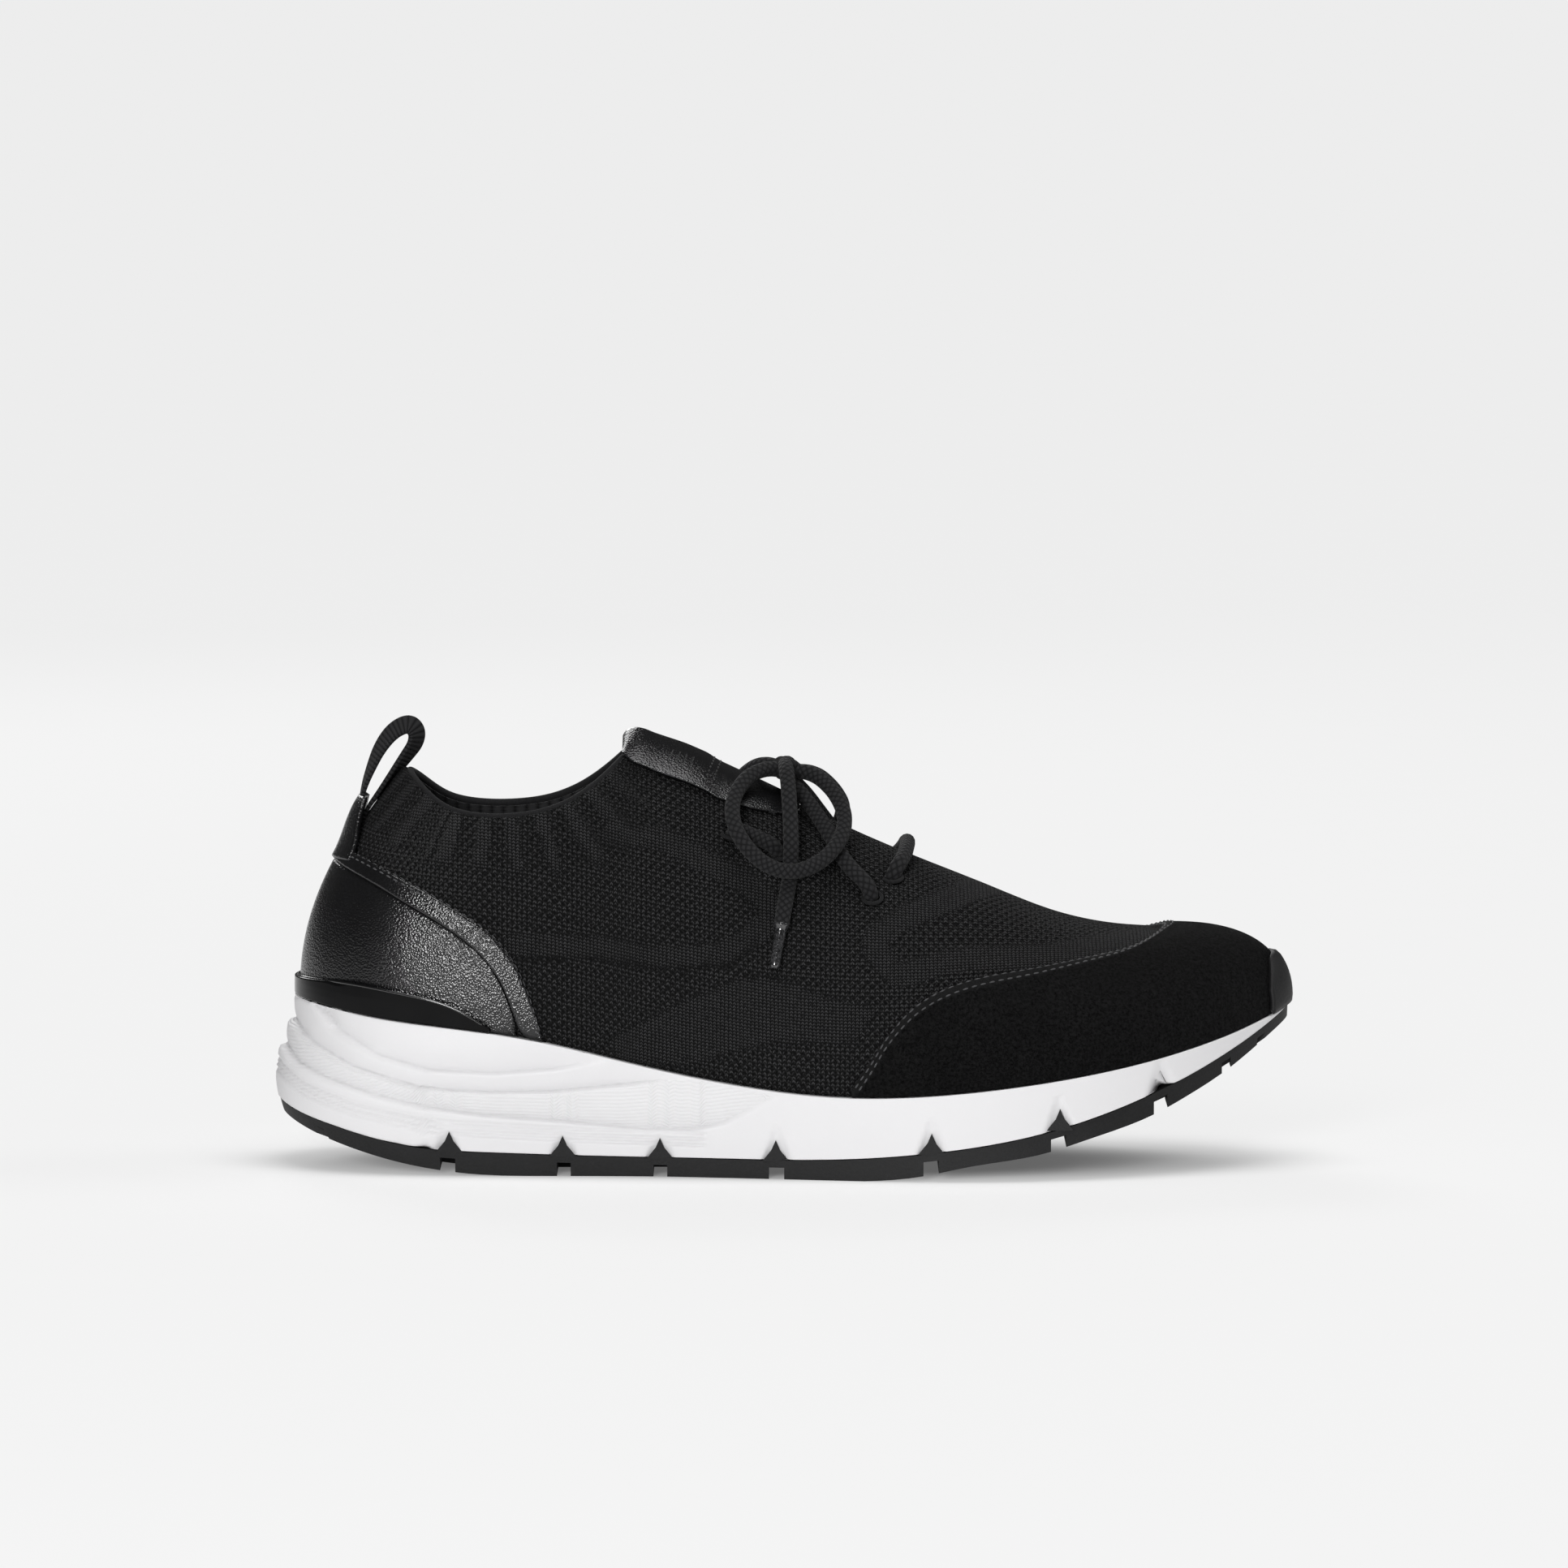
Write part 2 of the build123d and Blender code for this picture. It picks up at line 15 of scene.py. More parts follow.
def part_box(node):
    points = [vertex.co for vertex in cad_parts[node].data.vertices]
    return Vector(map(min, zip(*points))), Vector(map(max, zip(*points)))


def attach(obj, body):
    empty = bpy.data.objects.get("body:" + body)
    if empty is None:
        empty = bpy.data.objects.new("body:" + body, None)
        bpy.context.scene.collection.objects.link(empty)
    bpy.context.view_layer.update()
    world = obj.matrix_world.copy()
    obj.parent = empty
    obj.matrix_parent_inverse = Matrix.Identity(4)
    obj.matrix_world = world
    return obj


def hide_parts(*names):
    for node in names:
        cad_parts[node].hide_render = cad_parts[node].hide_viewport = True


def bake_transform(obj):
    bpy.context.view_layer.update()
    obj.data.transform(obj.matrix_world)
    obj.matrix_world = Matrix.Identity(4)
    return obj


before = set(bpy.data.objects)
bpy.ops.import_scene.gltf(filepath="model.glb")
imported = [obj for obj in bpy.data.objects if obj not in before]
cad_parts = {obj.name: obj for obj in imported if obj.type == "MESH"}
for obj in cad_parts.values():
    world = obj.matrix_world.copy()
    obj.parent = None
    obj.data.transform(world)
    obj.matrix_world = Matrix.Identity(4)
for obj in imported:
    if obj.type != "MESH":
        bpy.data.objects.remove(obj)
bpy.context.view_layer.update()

MM = 0.001
SHOE = "shoe"
scene = bpy.context.scene

# ---- camera, light and floor -----------------

LENS, SENSOR, FRAME_WIDTH = 250, 36, 0.4585
ELEVATION = math.radians(5)
TARGET = Vector((0.00095, 0, 0.11097))
FLOOR_SIDE, FLOOR_FRONT, FLOOR_BACK = 30, 6, 60
GLOW, GLOW_NEAR, PAINTED_SHADOW_UNDER = 0.845, 0.32, 0.4  # glow of the open paper, its loss near the shoe, and the painted shadow cut from it under the shoe


def add_camera():
    """Long lens level with the shoe's lateral side, a little above it."""
    data = bpy.data.cameras.new("camera")
    data.lens, data.sensor_width = LENS, SENSOR
    distance = FRAME_WIDTH * LENS / SENSOR
    camera = bpy.data.objects.new("camera", data)
    camera.location = TARGET + Vector((0, -math.cos(ELEVATION), math.sin(ELEVATION))) * distance
    camera.rotation_euler = (math.pi / 2 - ELEVATION, 0, 0)
    scene.collection.objects.link(camera)
    scene.camera = camera


def add_light(name, place, size, power, target=(0, 0, 0.06)):
    """Square soft box aimed at the shoe."""
    data = bpy.data.lights.new(name, "AREA")
    data.energy, data.size = power, size
    light = bpy.data.objects.new(name, data)
    light.location = place
    light.rotation_euler = (Vector(target) - Vector(place)).to_track_quat("-Z", "Y").to_euler()
    scene.collection.objects.link(light)


def add_stage():
    """Pale floor and room."""
    world = bpy.data.worlds.new("room")
    scene.world = world
    world.use_nodes = True
    world.node_tree.nodes["Background"].inputs["Color"].default_value = (0.06, 0.06, 0.06, 1)
    world.node_tree.nodes["Background"].inputs["Strength"].default_value = 1.0
    corners = [(-FLOOR_SIDE, -FLOOR_FRONT, 0), (FLOOR_SIDE, -FLOOR_FRONT, 0),
               (FLOOR_SIDE, FLOOR_BACK, 0), (-FLOOR_SIDE, FLOOR_BACK, 0)]
    mesh = bpy.data.meshes.new("floor")
    mesh.from_pydata(corners, [], [(0, 1, 2, 3)])
    floor = bpy.data.objects.new("floor", mesh)
    scene.collection.objects.link(floor)
    floor.data.materials.append(glowing_paper())
    add_light("front", (-0.38, -1.7, 0.45), 0.4, 18)
    add_light("top", (0.1, -0.35, 1.6), 1.0, 13)
    add_light("side", (1.2, 0.2, 0.9), 0.6, 4)
    add_light("back", (-0.5, 1.6, 0.9), 0.8, 11)


# ---- node graphs -----------------------------

class Graph:
    """Short way to write a material's nodes."""

    def __init__(self, name):
        self.material = bpy.data.materials.new(name)
        self.material.use_nodes = True
        self.tree = self.material.node_tree
        self.shader = self.tree.nodes["Principled BSDF"]

    def add(self, kind, inputs=None, **settings):
        node = self.tree.nodes.new("ShaderNode" + kind)
        for key, value in settings.items():
            setattr(node, key, value)
        for key, value in (inputs or {}).items():
            self.put(node.inputs[key], value)
        return node

    def put(self, socket, value):
        if isinstance(value, bpy.types.NodeSocket):
            self.tree.links.new(value, socket)
        else:
            socket.default_value = value

    def math(self, operation, *values):
        node = self.tree.nodes.new("ShaderNodeMath")
        node.operation = operation
        for socket, value in zip(node.inputs, values):
            self.put(socket, value)
        return node.outputs[0]

    def times(self, a, b):
        return self.math("MULTIPLY", a, b)

    def plus(self, a, b):
        return self.math("ADD", a, b)

    def minus(self, a, b):
        return self.math("SUBTRACT", a, b)

    def over(self, a, b):
        return self.math("DIVIDE", a, b)

    def ridges(self, value, pitch=1.0):
        """Rounded ridges from 0 to 1, one for each pitch of the value."""
        return self.math("ABSOLUTE", self.math("SINE", self.times(value, math.pi / pitch)))

    def remap(self, value, low, high, to_low=0.0, to_high=1.0):
        node = self.add("MapRange", {"Value": value, "From Min": low, "From Max": high,
                                     "To Min": to_low, "To Max": to_high}, interpolation_type="SMOOTHSTEP")
        return node.outputs[0]

    def mix(self, factor, a, b):
        node = self.add("Mix", data_type="FLOAT")
        for socket, value in zip((node.inputs[0], node.inputs[2], node.inputs[3]), (factor, a, b)):
            self.put(socket, value)
        return node.outputs[0]

    def colour(self, factor, dark, light):
        node = self.add("Mix", data_type="RGBA")
        self.put(node.inputs[0], factor)
        node.inputs[6].default_value = (*dark, 1)
        node.inputs[7].default_value = (*light, 1)
        return node.outputs[2]

    def place(self):
        return self.add("TexCoord").outputs["Object"]

    def spot(self):
        """X, Y and Z of the piece, in metres."""
        return self.add("SeparateXYZ", {"Vector": self.place()}).outputs

    def uv(self):
        """U and V of the piece, in millimetres."""
        node = self.add("SeparateXYZ", {"Vector": self.add("TexCoord").outputs["UV"]})
        return tuple(self.times(node.outputs[k], 1000.0) for k in (0, 1))

    def noise(self, size, detail=3.0, roughness=0.6):
        """Noise with blobs about size millimetres wide."""
        return self.add("TexNoise", {"Vector": self.place(), "Scale": 1000.0 / size, "Detail": detail,
                                     "Roughness": roughness}).outputs["Fac"]

    def cells(self, size):
        return self.add("TexVoronoi", {"Vector": self.place(), "Scale": 1000.0 / size}).outputs["Distance"]

    def attribute(self, name):
        return self.add("Attribute", attribute_name=name).outputs["Fac"]

    def bump(self, height, depth, strength=1.0, below=None):
        """Bump of depth millimetres for a height from 0 to 1."""
        inputs = {"Height": height, "Distance": depth * MM, "Strength": strength}
        if below is not None:
            inputs["Normal"] = below
        return self.add("Bump", inputs).outputs[0]

    def finish(self, colour, roughness, normal=None, sheen=0.0, specular=0.5, **others):
        self.put(self.shader.inputs["Base Color"], colour)
        self.put(self.shader.inputs["Roughness"], roughness)
        if normal is not None:
            self.put(self.shader.inputs["Normal"], normal)
        self.shader.inputs["Sheen Weight"].default_value = sheen
        self.shader.inputs["Specular IOR Level"].default_value = specular
        for key, value in others.items():
            self.shader.inputs[key.replace("_", " ")].default_value = value
        return self.material


def oval(g, x, y, length, width):
    """Distance from the floor's middle, where 1 is an oval of this half length and half width in metres."""
    a, b = g.over(x, length), g.over(y, width)
    return g.math("SQRT", g.plus(g.times(a, a), g.times(b, b)))


def glowing_paper():
    """White paper that glows as if lit from behind; it glows less near the shoe, where it takes the lamps'
    shadow, and a painted shadow darkens its glow under the shoe.
    """
    g = Graph("paper")
    grain = g.noise(40.0)
    spot = g.spot()
    x, y = spot[0], spot[1]
    reach = g.plus(0.36, g.times(g.plus(y, 0.8), 0.085))
    across = g.over(g.math("ABSOLUTE", x), g.math("MAXIMUM", reach, 0.3))
    glow = g.times(g.remap(across, 1.0, 1.7, 1.0, 0.6), g.remap(y, -1.5, -0.8, 0.6, 1.0))
    near = g.remap(oval(g, x, y, 0.3, 0.2), 0.45, 1.25, 1.0, 0.0)
    # Painted shadow: an oval under the shoe where the paper's glow is cut.
    under = g.remap(oval(g, x, y, 0.15, 0.05), 0.55, 1.2, 1.0, 0.0)
    strength = g.minus(g.times(glow, GLOW), g.times(near, GLOW_NEAR))
    strength = g.minus(strength, g.times(under, PAINTED_SHADOW_UNDER))
    g.put(g.shader.inputs["Emission Strength"], strength)
    g.put(g.shader.inputs["Emission Color"], g.colour(grain, (0.995, 0.995, 0.995), (1, 1, 1)))
    return g.finish(g.colour(near, (0.06, 0.06, 0.06), (0.44, 0.44, 0.44)), 1.0, specular=0.0)


# ---- materials -------------------------------

DARK_YARN, LIGHT_YARN = (0.003, 0.003, 0.0033), (0.024, 0.024, 0.025)
BRAID_PITCH = 2.1 * MM


def weave(g, u, v, wale, course):
    """Height of jersey: columns of V-shaped stitches, wale wide and course high, in millimetres."""
    across = g.math("FRACT", g.over(u, wale))
    slant = g.math("ABSOLUTE", g.minus(across, 0.5))
    rise = g.plus(g.over(v, course), g.times(slant, 1.3))
    legs = g.ridges(rise)
    valley = g.math("SINE", g.times(across, math.pi))
    crease = g.remap(slant, 0.0, 0.12)
    return g.times(g.times(legs, g.math("POWER", valley, 0.5)), g.mix(crease, 0.72, 1.0))


def holes(g, u, v, pitch_u, pitch_v, radius):
    """1 in the holes of openwork knit, whose rows are staggered, and 0 on its yarn."""
    row = g.math("FLOOR", g.over(v, pitch_v))
    shift = g.times(g.math("MODULO", row, 2.0), 0.5)
    a = g.minus(g.math("FRACT", g.plus(g.over(u, pitch_u), shift)), 0.5)
    b = g.minus(g.math("FRACT", g.over(v, pitch_v)), 0.5)
    a, b = g.times(a, pitch_u), g.times(b, pitch_v)
    reach = g.math("SQRT", g.plus(g.times(a, a), g.times(b, b)))
    return g.remap(reach, radius * 0.45, radius * 1.25, 1.0, 0.0)


def knit_material():
    """Black engineered knit: flat jersey, openwork and collar ribs by the piece's zones, with painted light
    and shade on the stitches, the holes, the seam fold and the collar ribs.
    """
    g = Graph("knit")
    u, v = g.uv()
    wobble = g.times(g.minus(g.noise(3.0), 0.5), 0.5)
    u, v = g.plus(u, wobble), g.plus(v, wobble)
    jersey, big, fold_and_shade, rib_relief_and_shade = [g.attribute(zone) for zone in ("jersey", "big_holes", "fold_and_shade", "rib_relief_and_shade")]
    hole_and_shade = g.mix(big, holes(g, u, v, 2.7, 1.55, 0.72), holes(g, u, v, 3.0, 1.9, 0.9))
    hole_and_shade = g.times(hole_and_shade, g.minus(1.0, jersey))
    yarn = g.mix(jersey, weave(g, u, v, 1.45, 1.15), weave(g, u, v, 1.15, 0.95))
    height = g.minus(g.times(yarn, 0.6), g.times(hole_and_shade, 1.2))
    height = g.plus(g.minus(height, fold_and_shade), rib_relief_and_shade)
    # Painted light on the stitches' tops and painted shade between them, from the yarn's height.
    lightness = g.plus(g.times(g.math("POWER", yarn, 4.2), 2.3), 0.01)
    # Painted shade in the holes and along the seam fold, and painted light and shade on the collar ribs.
    for mark, gain in ((hole_and_shade, -0.96), (fold_and_shade, -0.6), (rib_relief_and_shade, 0.6)):
        lightness = g.times(lightness, g.plus(g.times(mark, gain), 1.0))
    lightness = g.times(lightness, g.remap(g.noise(0.9, 4.0, 0.8), 0.3, 0.7, 0.15, 1.85))
    shade = g.colour(lightness, (0.0003, 0.0003, 0.0004), (0.056, 0.056, 0.058))
    return g.finish(shade, 0.88, g.bump(height, 1.1), sheen=0.03, Sheen_Roughness=0.5, specular=0.1)


def lining_material():
    """Soft black lining, ribbed up and down, with painted light on its ribs and rows and painted shade
    between them.
    """
    g = Graph("lining")
    spot = g.spot()
    ribs = g.ridges(spot[0], 3.4 * MM)
    rows = g.ridges(spot[2], 1.1 * MM)
    level = g.times(g.plus(ribs, g.times(rows, 0.4)), g.mix(g.noise(0.6), 0.5, 1.4))
    shade = g.colour(level, (0.002, 0.002, 0.0022), (0.03, 0.03, 0.031))
    return g.finish(shade, 0.9, g.bump(ribs, 0.7, 0.9), sheen=0.05, specular=0.1)


def leather_material(name="leather"):
    """Black leather: fine grain, creases and a satin finish."""
    g = Graph(name)
    pores = g.cells(0.6)
    creases = g.noise(0.78, 4.0, 0.6)
    grain = g.plus(g.times(pores, 0.8), g.times(creases, 0.5))
    shade = g.colour(g.times(grain, g.noise(22.0, 2.0)), (0.002, 0.002, 0.0022), (0.012, 0.012, 0.013))
    roughness = g.mix(g.noise(6.0), 0.17, 0.24)
    normal = g.bump(grain, 0.14, 1.0, g.bump(g.noise(14.0, 2.0), 0.4, 0.3))
    return g.finish(shade, roughness, normal, specular=0.6)


def suede_material():
    """Black suede: short uneven nap, and a pressed band along its stitched edge."""
    g = Graph("suede")
    nap = g.remap(g.noise(0.9, 6.0, 0.9), 0.4, 0.6)
    pressed = g.attribute("pressed")
    fibre = g.times(nap, g.mix(g.noise(16.0, 3.0), 0.6, 1.25))
    level = g.plus(fibre, g.times(pressed, 0.65))
    shade = g.colour(g.math("POWER", level, 1.5), (0.0002, 0.0002, 0.0003), (0.012, 0.012, 0.0123))
    return g.finish(shade, g.mix(pressed, 0.97, 0.75), g.bump(nap, 0.3, 0.8), sheen=0.02,
                    Sheen_Roughness=0.5, specular=0.08)


def rubber_material():
    """Matte black moulded rubber with fine scuffs."""
    g = Graph("rubber")
    speck = g.noise(0.8, 4.0)
    scuffs = g.noise(7.0, 5.0, 0.7)
    shade = g.colour(g.times(speck, scuffs), (0.004, 0.004, 0.0042), (0.022, 0.022, 0.023))
    return g.finish(shade, g.mix(scuffs, 0.5, 0.7), g.bump(speck, 0.15, 0.7), specular=0.3)


def foam_material():
    """White moulded foam: fine skin texture and hairline striations along its bands."""
    g = Graph("foam")
    skin = g.noise(0.9, 4.0, 0.7)
    lines = g.times(g.ridges(g.uv()[1], 1.1), g.attribute("striped"))
    shade = g.colour(g.noise(30.0, 2.0), (0.74, 0.735, 0.745), (0.78, 0.775, 0.785))
    normal = g.bump(lines, 0.15, 0.8, g.bump(skin, 0.08, 0.6))
    return g.finish(shade, g.mix(skin, 0.5, 0.62), normal, specular=0.35)


def clip_material(name="heel_clip", gloss=0.12):
    """Glossy black moulded plastic."""
    g = Graph(name)
    wave = g.noise(9.0, 2.0)
    shade = g.colour(wave, (0.003, 0.003, 0.0032), (0.006, 0.006, 0.0063))
    return g.finish(shade, g.mix(wave, 0.1, 0.16), g.bump(wave, 0.06, 0.3), specular=gloss)


def braided(g, along, around, base, depth, strength):
    """Braided black yarn: diagonals that cross, counted along the cord and around it, with painted light on
    the crossings and painted shade between them.
    """
    braid = g.times(g.ridges(g.plus(along, around)), g.ridges(g.minus(along, around)))
    level = g.times(g.plus(braid, base), g.mix(g.noise(0.4, 5.0, 0.75), 0.6, 1.35))
    shade = g.colour(level, DARK_YARN, LIGHT_YARN)
    return g.finish(shade, 0.9, g.bump(braid, depth, strength), sheen=0.05, specular=0.1)


def knot_material():
    """Very fine braid of the knot, with U in millimetres along the lace and V from 0 to 1 round it."""
    g = Graph("knot_braid")
    u, v = g.uv()
    return braided(g, g.times(u, 6.0), g.over(v, 2.1), 0.25, 0.35, 0.9)


def cord_material(name, length):
    """Braid of one lace, whose U runs from 0 to 1 along it and V round it."""
    g = Graph(name)
    node = g.add("SeparateXYZ", {"Vector": g.add("TexCoord").outputs["UV"]})
    along = g.times(node.outputs[0], length / BRAID_PITCH)
    return braided(g, along, g.times(node.outputs[1], 6.0), 0.2, 0.3, 0.8)


def aglet_material():
    """Clear glossy film over the braid."""
    g = Graph("aglet")
    braid = g.remap(g.noise(0.7, 4.0, 0.7), 0.35, 0.65)
    shade = g.colour(braid, (0.004, 0.004, 0.0045), (0.05, 0.05, 0.052))
    ripple = g.noise(1.6, 3.0)
    return g.finish(shade, g.mix(ripple, 0.08, 0.2), g.bump(ripple, 0.25, 0.6), Coat_Weight=1.0,
                    Coat_Roughness=0.05)


def thread_material(name, dark, light):
    """Twisted sewing thread."""
    g = Graph(name)
    twist = g.noise(0.3, 3.0)
    shade = g.colour(twist, dark, light)
    return g.finish(shade, 0.6, g.bump(twist, 0.1, 0.6), sheen=0.2)


def cloth_material(name, dark=DARK_YARN, light=LIGHT_YARN, size=0.5):
    """Plain woven or felted cloth."""
    g = Graph(name)
    fibre = g.noise(size, 5.0, 0.7)
    return g.finish(g.colour(fibre, dark, light), 0.92, g.bump(fibre, 0.25, 0.7), sheen=0.05,
                    specular=0.12)


# ---- meshes on the CAD surfaces --------------

HEEL_X, TOE_X, TOE_Y = -0.095, 0.108, 0.003  # ends of the shoe's middle line
TURN = 4.0  # once round the shoe: lateral side, toe, medial side, heel
ABOVE_FOOT = 0.012  # height of the rays' middle line over the knit's lower edge
RAY_LOW, RAY_HIGH, RAY_REACH = -55, 90, 0.25  # degrees, degrees, metres
WALL_START, WALL_REACH = 0.2, 0.177  # the side walls' rays stop short of the middle of the shoe
RAY_STEPS, WALL_STEPS = 150, 110  # directions or heights tried in each column
UPPER_COLUMNS, WALL_COLUMNS = (190, 110), (230, 110)  # along each side, and round each end


def tree_of(*nodes):
    """Search tree over the faces of some CAD nodes."""
    points, faces = [], []
    for node in nodes:
        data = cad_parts[node].data
        start = len(points)
        points += [v.co.copy() for v in data.vertices]
        faces += [[start + i for i in p.vertices] for p in data.polygons]
    return BVHTree.FromPolygons(points, faces)


def foot_line():
    """Lowest height of the knit along the shoe, as places and heights."""
    co = np.array([v.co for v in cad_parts["knit_upper"].data.vertices])
    places = np.linspace(co[:, 0].min() + 0.001, co[:, 0].max() - 0.001, 60)
    return places, np.array([co[np.abs(co[:, 0] - x) < 0.007, 2].min() for x in places])


FOOT_X, FOOT_Z = foot_line()


def spoke(s):
    """Start and plan direction of the rays at place s round the shoe."""
    side, t = int(s % TURN), s % 1.0
    length = TOE_X - HEEL_X
    if side == 0:
        return HEEL_X + length * t, TOE_Y * t, 0.0, -1.0
    if side == 1:
        return TOE_X, TOE_Y, math.sin(math.pi * t), -math.cos(math.pi * t)
    if side == 2:
        return TOE_X - length * t, TOE_Y * (1 - t), 0.0, 1.0
    return HEEL_X, 0.0, -math.sin(math.pi * t), math.cos(math.pi * t)


def hit(tree, s, angle):
    """Outermost point of a surface in one direction from the shoe's middle line, or None."""
    x, y, dx, dy = spoke(s)
    start = Vector((x, y, float(np.interp(x, FOOT_X, FOOT_Z)) + ABOVE_FOOT))
    way = Vector((dx * math.cos(angle), dy * math.cos(angle), math.sin(angle)))
    return tree.ray_cast(start + way * RAY_REACH, -way, RAY_REACH)[0]


def level_hit(tree, s, height):
    """Outermost point of a side wall at one height, or None."""
    x, y, dx, dy = spoke(s)
    way = Vector((dx, dy, 0))
    return tree.ray_cast(Vector((x, y, height)) + way * WALL_START, -way, WALL_REACH)[0]


def edge_between(cast, inside, outside):
    """Last place that still hits, between one that hits and one that misses."""
    for _ in range(14):
        middle = (inside + outside) / 2
        if cast(middle) is None:
            outside = middle
        else:
            inside = middle
    return inside


def arc(points):
    """Distance along a line of points, at each of them."""
    return np.r_[0, np.cumsum(np.linalg.norm(np.diff(points, axis=0), axis=1))]


def along_line(points, steps, places):
    """Points at some distances along a line."""
    return np.stack([np.interp(places, steps, points[:, k]) for k in range(3)], axis=1)


def profile(cast, places, rows, trim=0.0):
    """Evenly spaced points up a column, from the first hit to the last, or None where there are none."""
    hits = [cast(p) is not None for p in places]
    if sum(hits) < 2:
        return None
    first = hits.index(True)
    last = len(hits) - 1 - hits[::-1].index(True)
    low = places[first] if first == 0 else edge_between(cast, places[first], places[first - 1])
    high = places[last] if last == len(places) - 1 else edge_between(cast, places[last], places[last + 1])
    points = [cast(p) for p in np.linspace(low + trim, high - trim, 3 * rows)]
    points = np.array([p for p in points if p is not None])
    if len(points) < 2:
        return None
    steps = arc(points)
    return along_line(points, steps, np.linspace(0, steps[-1], rows))


def smooth_along(grid, passes, closed):
    """Evens out the flat steps of the CAD surface along the shoe."""
    for _ in range(passes):
        if closed:
            before, after = np.roll(grid, 1, axis=0), np.roll(grid, -1, axis=0)
        else:
            before = np.concatenate([grid[:1], grid[:-1]])
            after = np.concatenate([grid[1:], grid[-1:]])
            before[0], after[-1] = 2 * grid[0] - grid[1], 2 * grid[-1] - grid[-2]
        grid = 0.25 * before + 0.5 * grid + 0.25 * after
    return grid


def columns_round(count_side, count_end):
    """Places round the shoe, closer together round the heel and the toe."""
    sides = []
    for side, count in enumerate((count_side, count_end, count_side, count_end)):
        sides += [side + k / count for k in range(count)]
    return sides


def surface_grid(node, rows, smooth):
    """Grid of points over the outer surface of a CAD node, one column for each place round the shoe."""
    tree = tree_of(node)
    angles = np.radians(np.linspace(RAY_LOW, RAY_HIGH, RAY_STEPS))
    columns = [profile(lambda a, s=s: hit(tree, s, a), angles, rows) for s in columns_round(*UPPER_COLUMNS)]
    found = [column is not None for column in columns]
    if all(found):
        return [smooth_along(np.array(columns), smooth, True)], True
    start = next(i for i in range(len(found)) if found[i] and not found[i - 1])
    order = [(start + k) % len(columns) for k in range(len(columns))]
    runs = [[columns[i] for i in run] for is_found, run in groupby(order, lambda i: found[i]) if is_found]
    return [smooth_along(np.array(run), smooth, False) for run in runs if len(run) > 3], False


def new_mesh(name, points, faces, uvs=None):
    """Mesh from its points, its faces and the place of each of their corners on the material."""
    mesh = bpy.data.meshes.new(name)
    mesh.from_pydata([tuple(p) for p in points], [], faces)
    if uvs is not None:
        layer = mesh.uv_layers.new(name="UVMap")
        layer.data.foreach_set("uv", np.array(uvs, dtype=np.float32).ravel())
    return mesh


def link(mesh, material, body=SHOE):
    """New piece from a mesh and a material, riding on a body."""
    piece = bpy.data.objects.new(mesh.name, mesh)
    scene.collection.objects.link(piece)
    piece.data.materials.append(material)
    mesh.shade_smooth()
    if body:
        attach(piece, body)
    return piece


def grid_mesh(name, grids, closed, flip=False):
    """Mesh of one or more grids, with lengths in metres as its UVs: U along the shoe, V up from the foot."""
    points, faces, uvs = [], [], []
    for grid in grids:
        count, rows = grid.shape[:2]
        start = len(points)
        points += [tuple(p) for p in grid.reshape(-1, 3)]
        heights = np.linalg.norm(np.diff(grid, axis=1), axis=2)
        up = np.pad(np.cumsum(heights, axis=1), ((0, 0), (1, 0)))
        middle = grid[:, rows // 2]
        steps = np.linalg.norm(np.diff(middle, axis=0, append=middle[:1]), axis=1)
        along = np.r_[0, np.cumsum(steps)]
        for i in range(count if closed else count - 1):
            j = (i + 1) % count
            for k in range(rows - 1):
                faces.append([start + i * rows + k, start + j * rows + k, start + j * rows + k + 1,
                              start + i * rows + k + 1])
                uvs += [(along[i], up[i, k]), (along[i + 1], up[j, k]), (along[i + 1], up[j, k + 1]),
                        (along[i], up[i, k + 1])]
    if flip:
        faces = [f[::-1] for f in faces]
        uvs = [uvs[4 * (n // 4) + 3 - n % 4] for n in range(len(uvs))]
    return new_mesh(name, points, faces, uvs)


def set_attribute(mesh, name, values):
    """Number at each vertex, for the materials."""
    layer = mesh.attributes.new(name, "FLOAT", "POINT")
    layer.data.foreach_set("value", np.asarray(values, dtype=np.float32))


def thicken(piece, thickness, offset=-1):
    """Gives a skin its thickness, inwards unless another offset is given."""
    solid = piece.modifiers.new("thickness", "SOLIDIFY")
    solid.thickness, solid.offset = thickness, offset


# ---- knit zones ------------------------------
# Places and heights are in millimetres, as seen square on from the side and 5 degrees above.

UPPER_BAND = [(-49, 96), (-35, 95), (-21, 87.5), (-8.6, 81), (-2, 74.5), (-3.9, 69.8), (-16, 61.3),
              (-35, 60.4), (-53.6, 63.2), (-77, 64)]
UPPER_SEAM = [(-77, 59), (-53.6, 60.4), (-28.3, 56.6), (-14.2, 58.5), (-6.7, 65)]
MIDDLE_FLAT = [(-49, 36.9), (-31, 46.5), (-14.5, 53.5), (-1, 55), (13, 49), (28.3, 45.4), (21.8, 35.6),
               (-1, 35.6), (-12, 33.5), (-26, 29), (-48, 30)]
VAMP_HOLES = [(30.5, 64), (39.2, 69.4), (55.6, 76), (65.4, 79.2), (70, 140), (125, 140), (125, 68),
              (104.6, 68.3), (88.3, 66.1), (77.4, 64), (55.6, 63.4), (44.7, 61.8), (34.9, 58.5)]
VAMP_BORDER = 7.0
RIB_PITCH = 7.8
RIB_REACH = [(-125, 21), (-105, 20), (-86, 18), (-70, 21), (-51, 26), (-38, 22), (-34, 0)]  # x, reach down
KNIT_ROWS, KNIT_THICKNESS = 64, 1.9 * MM


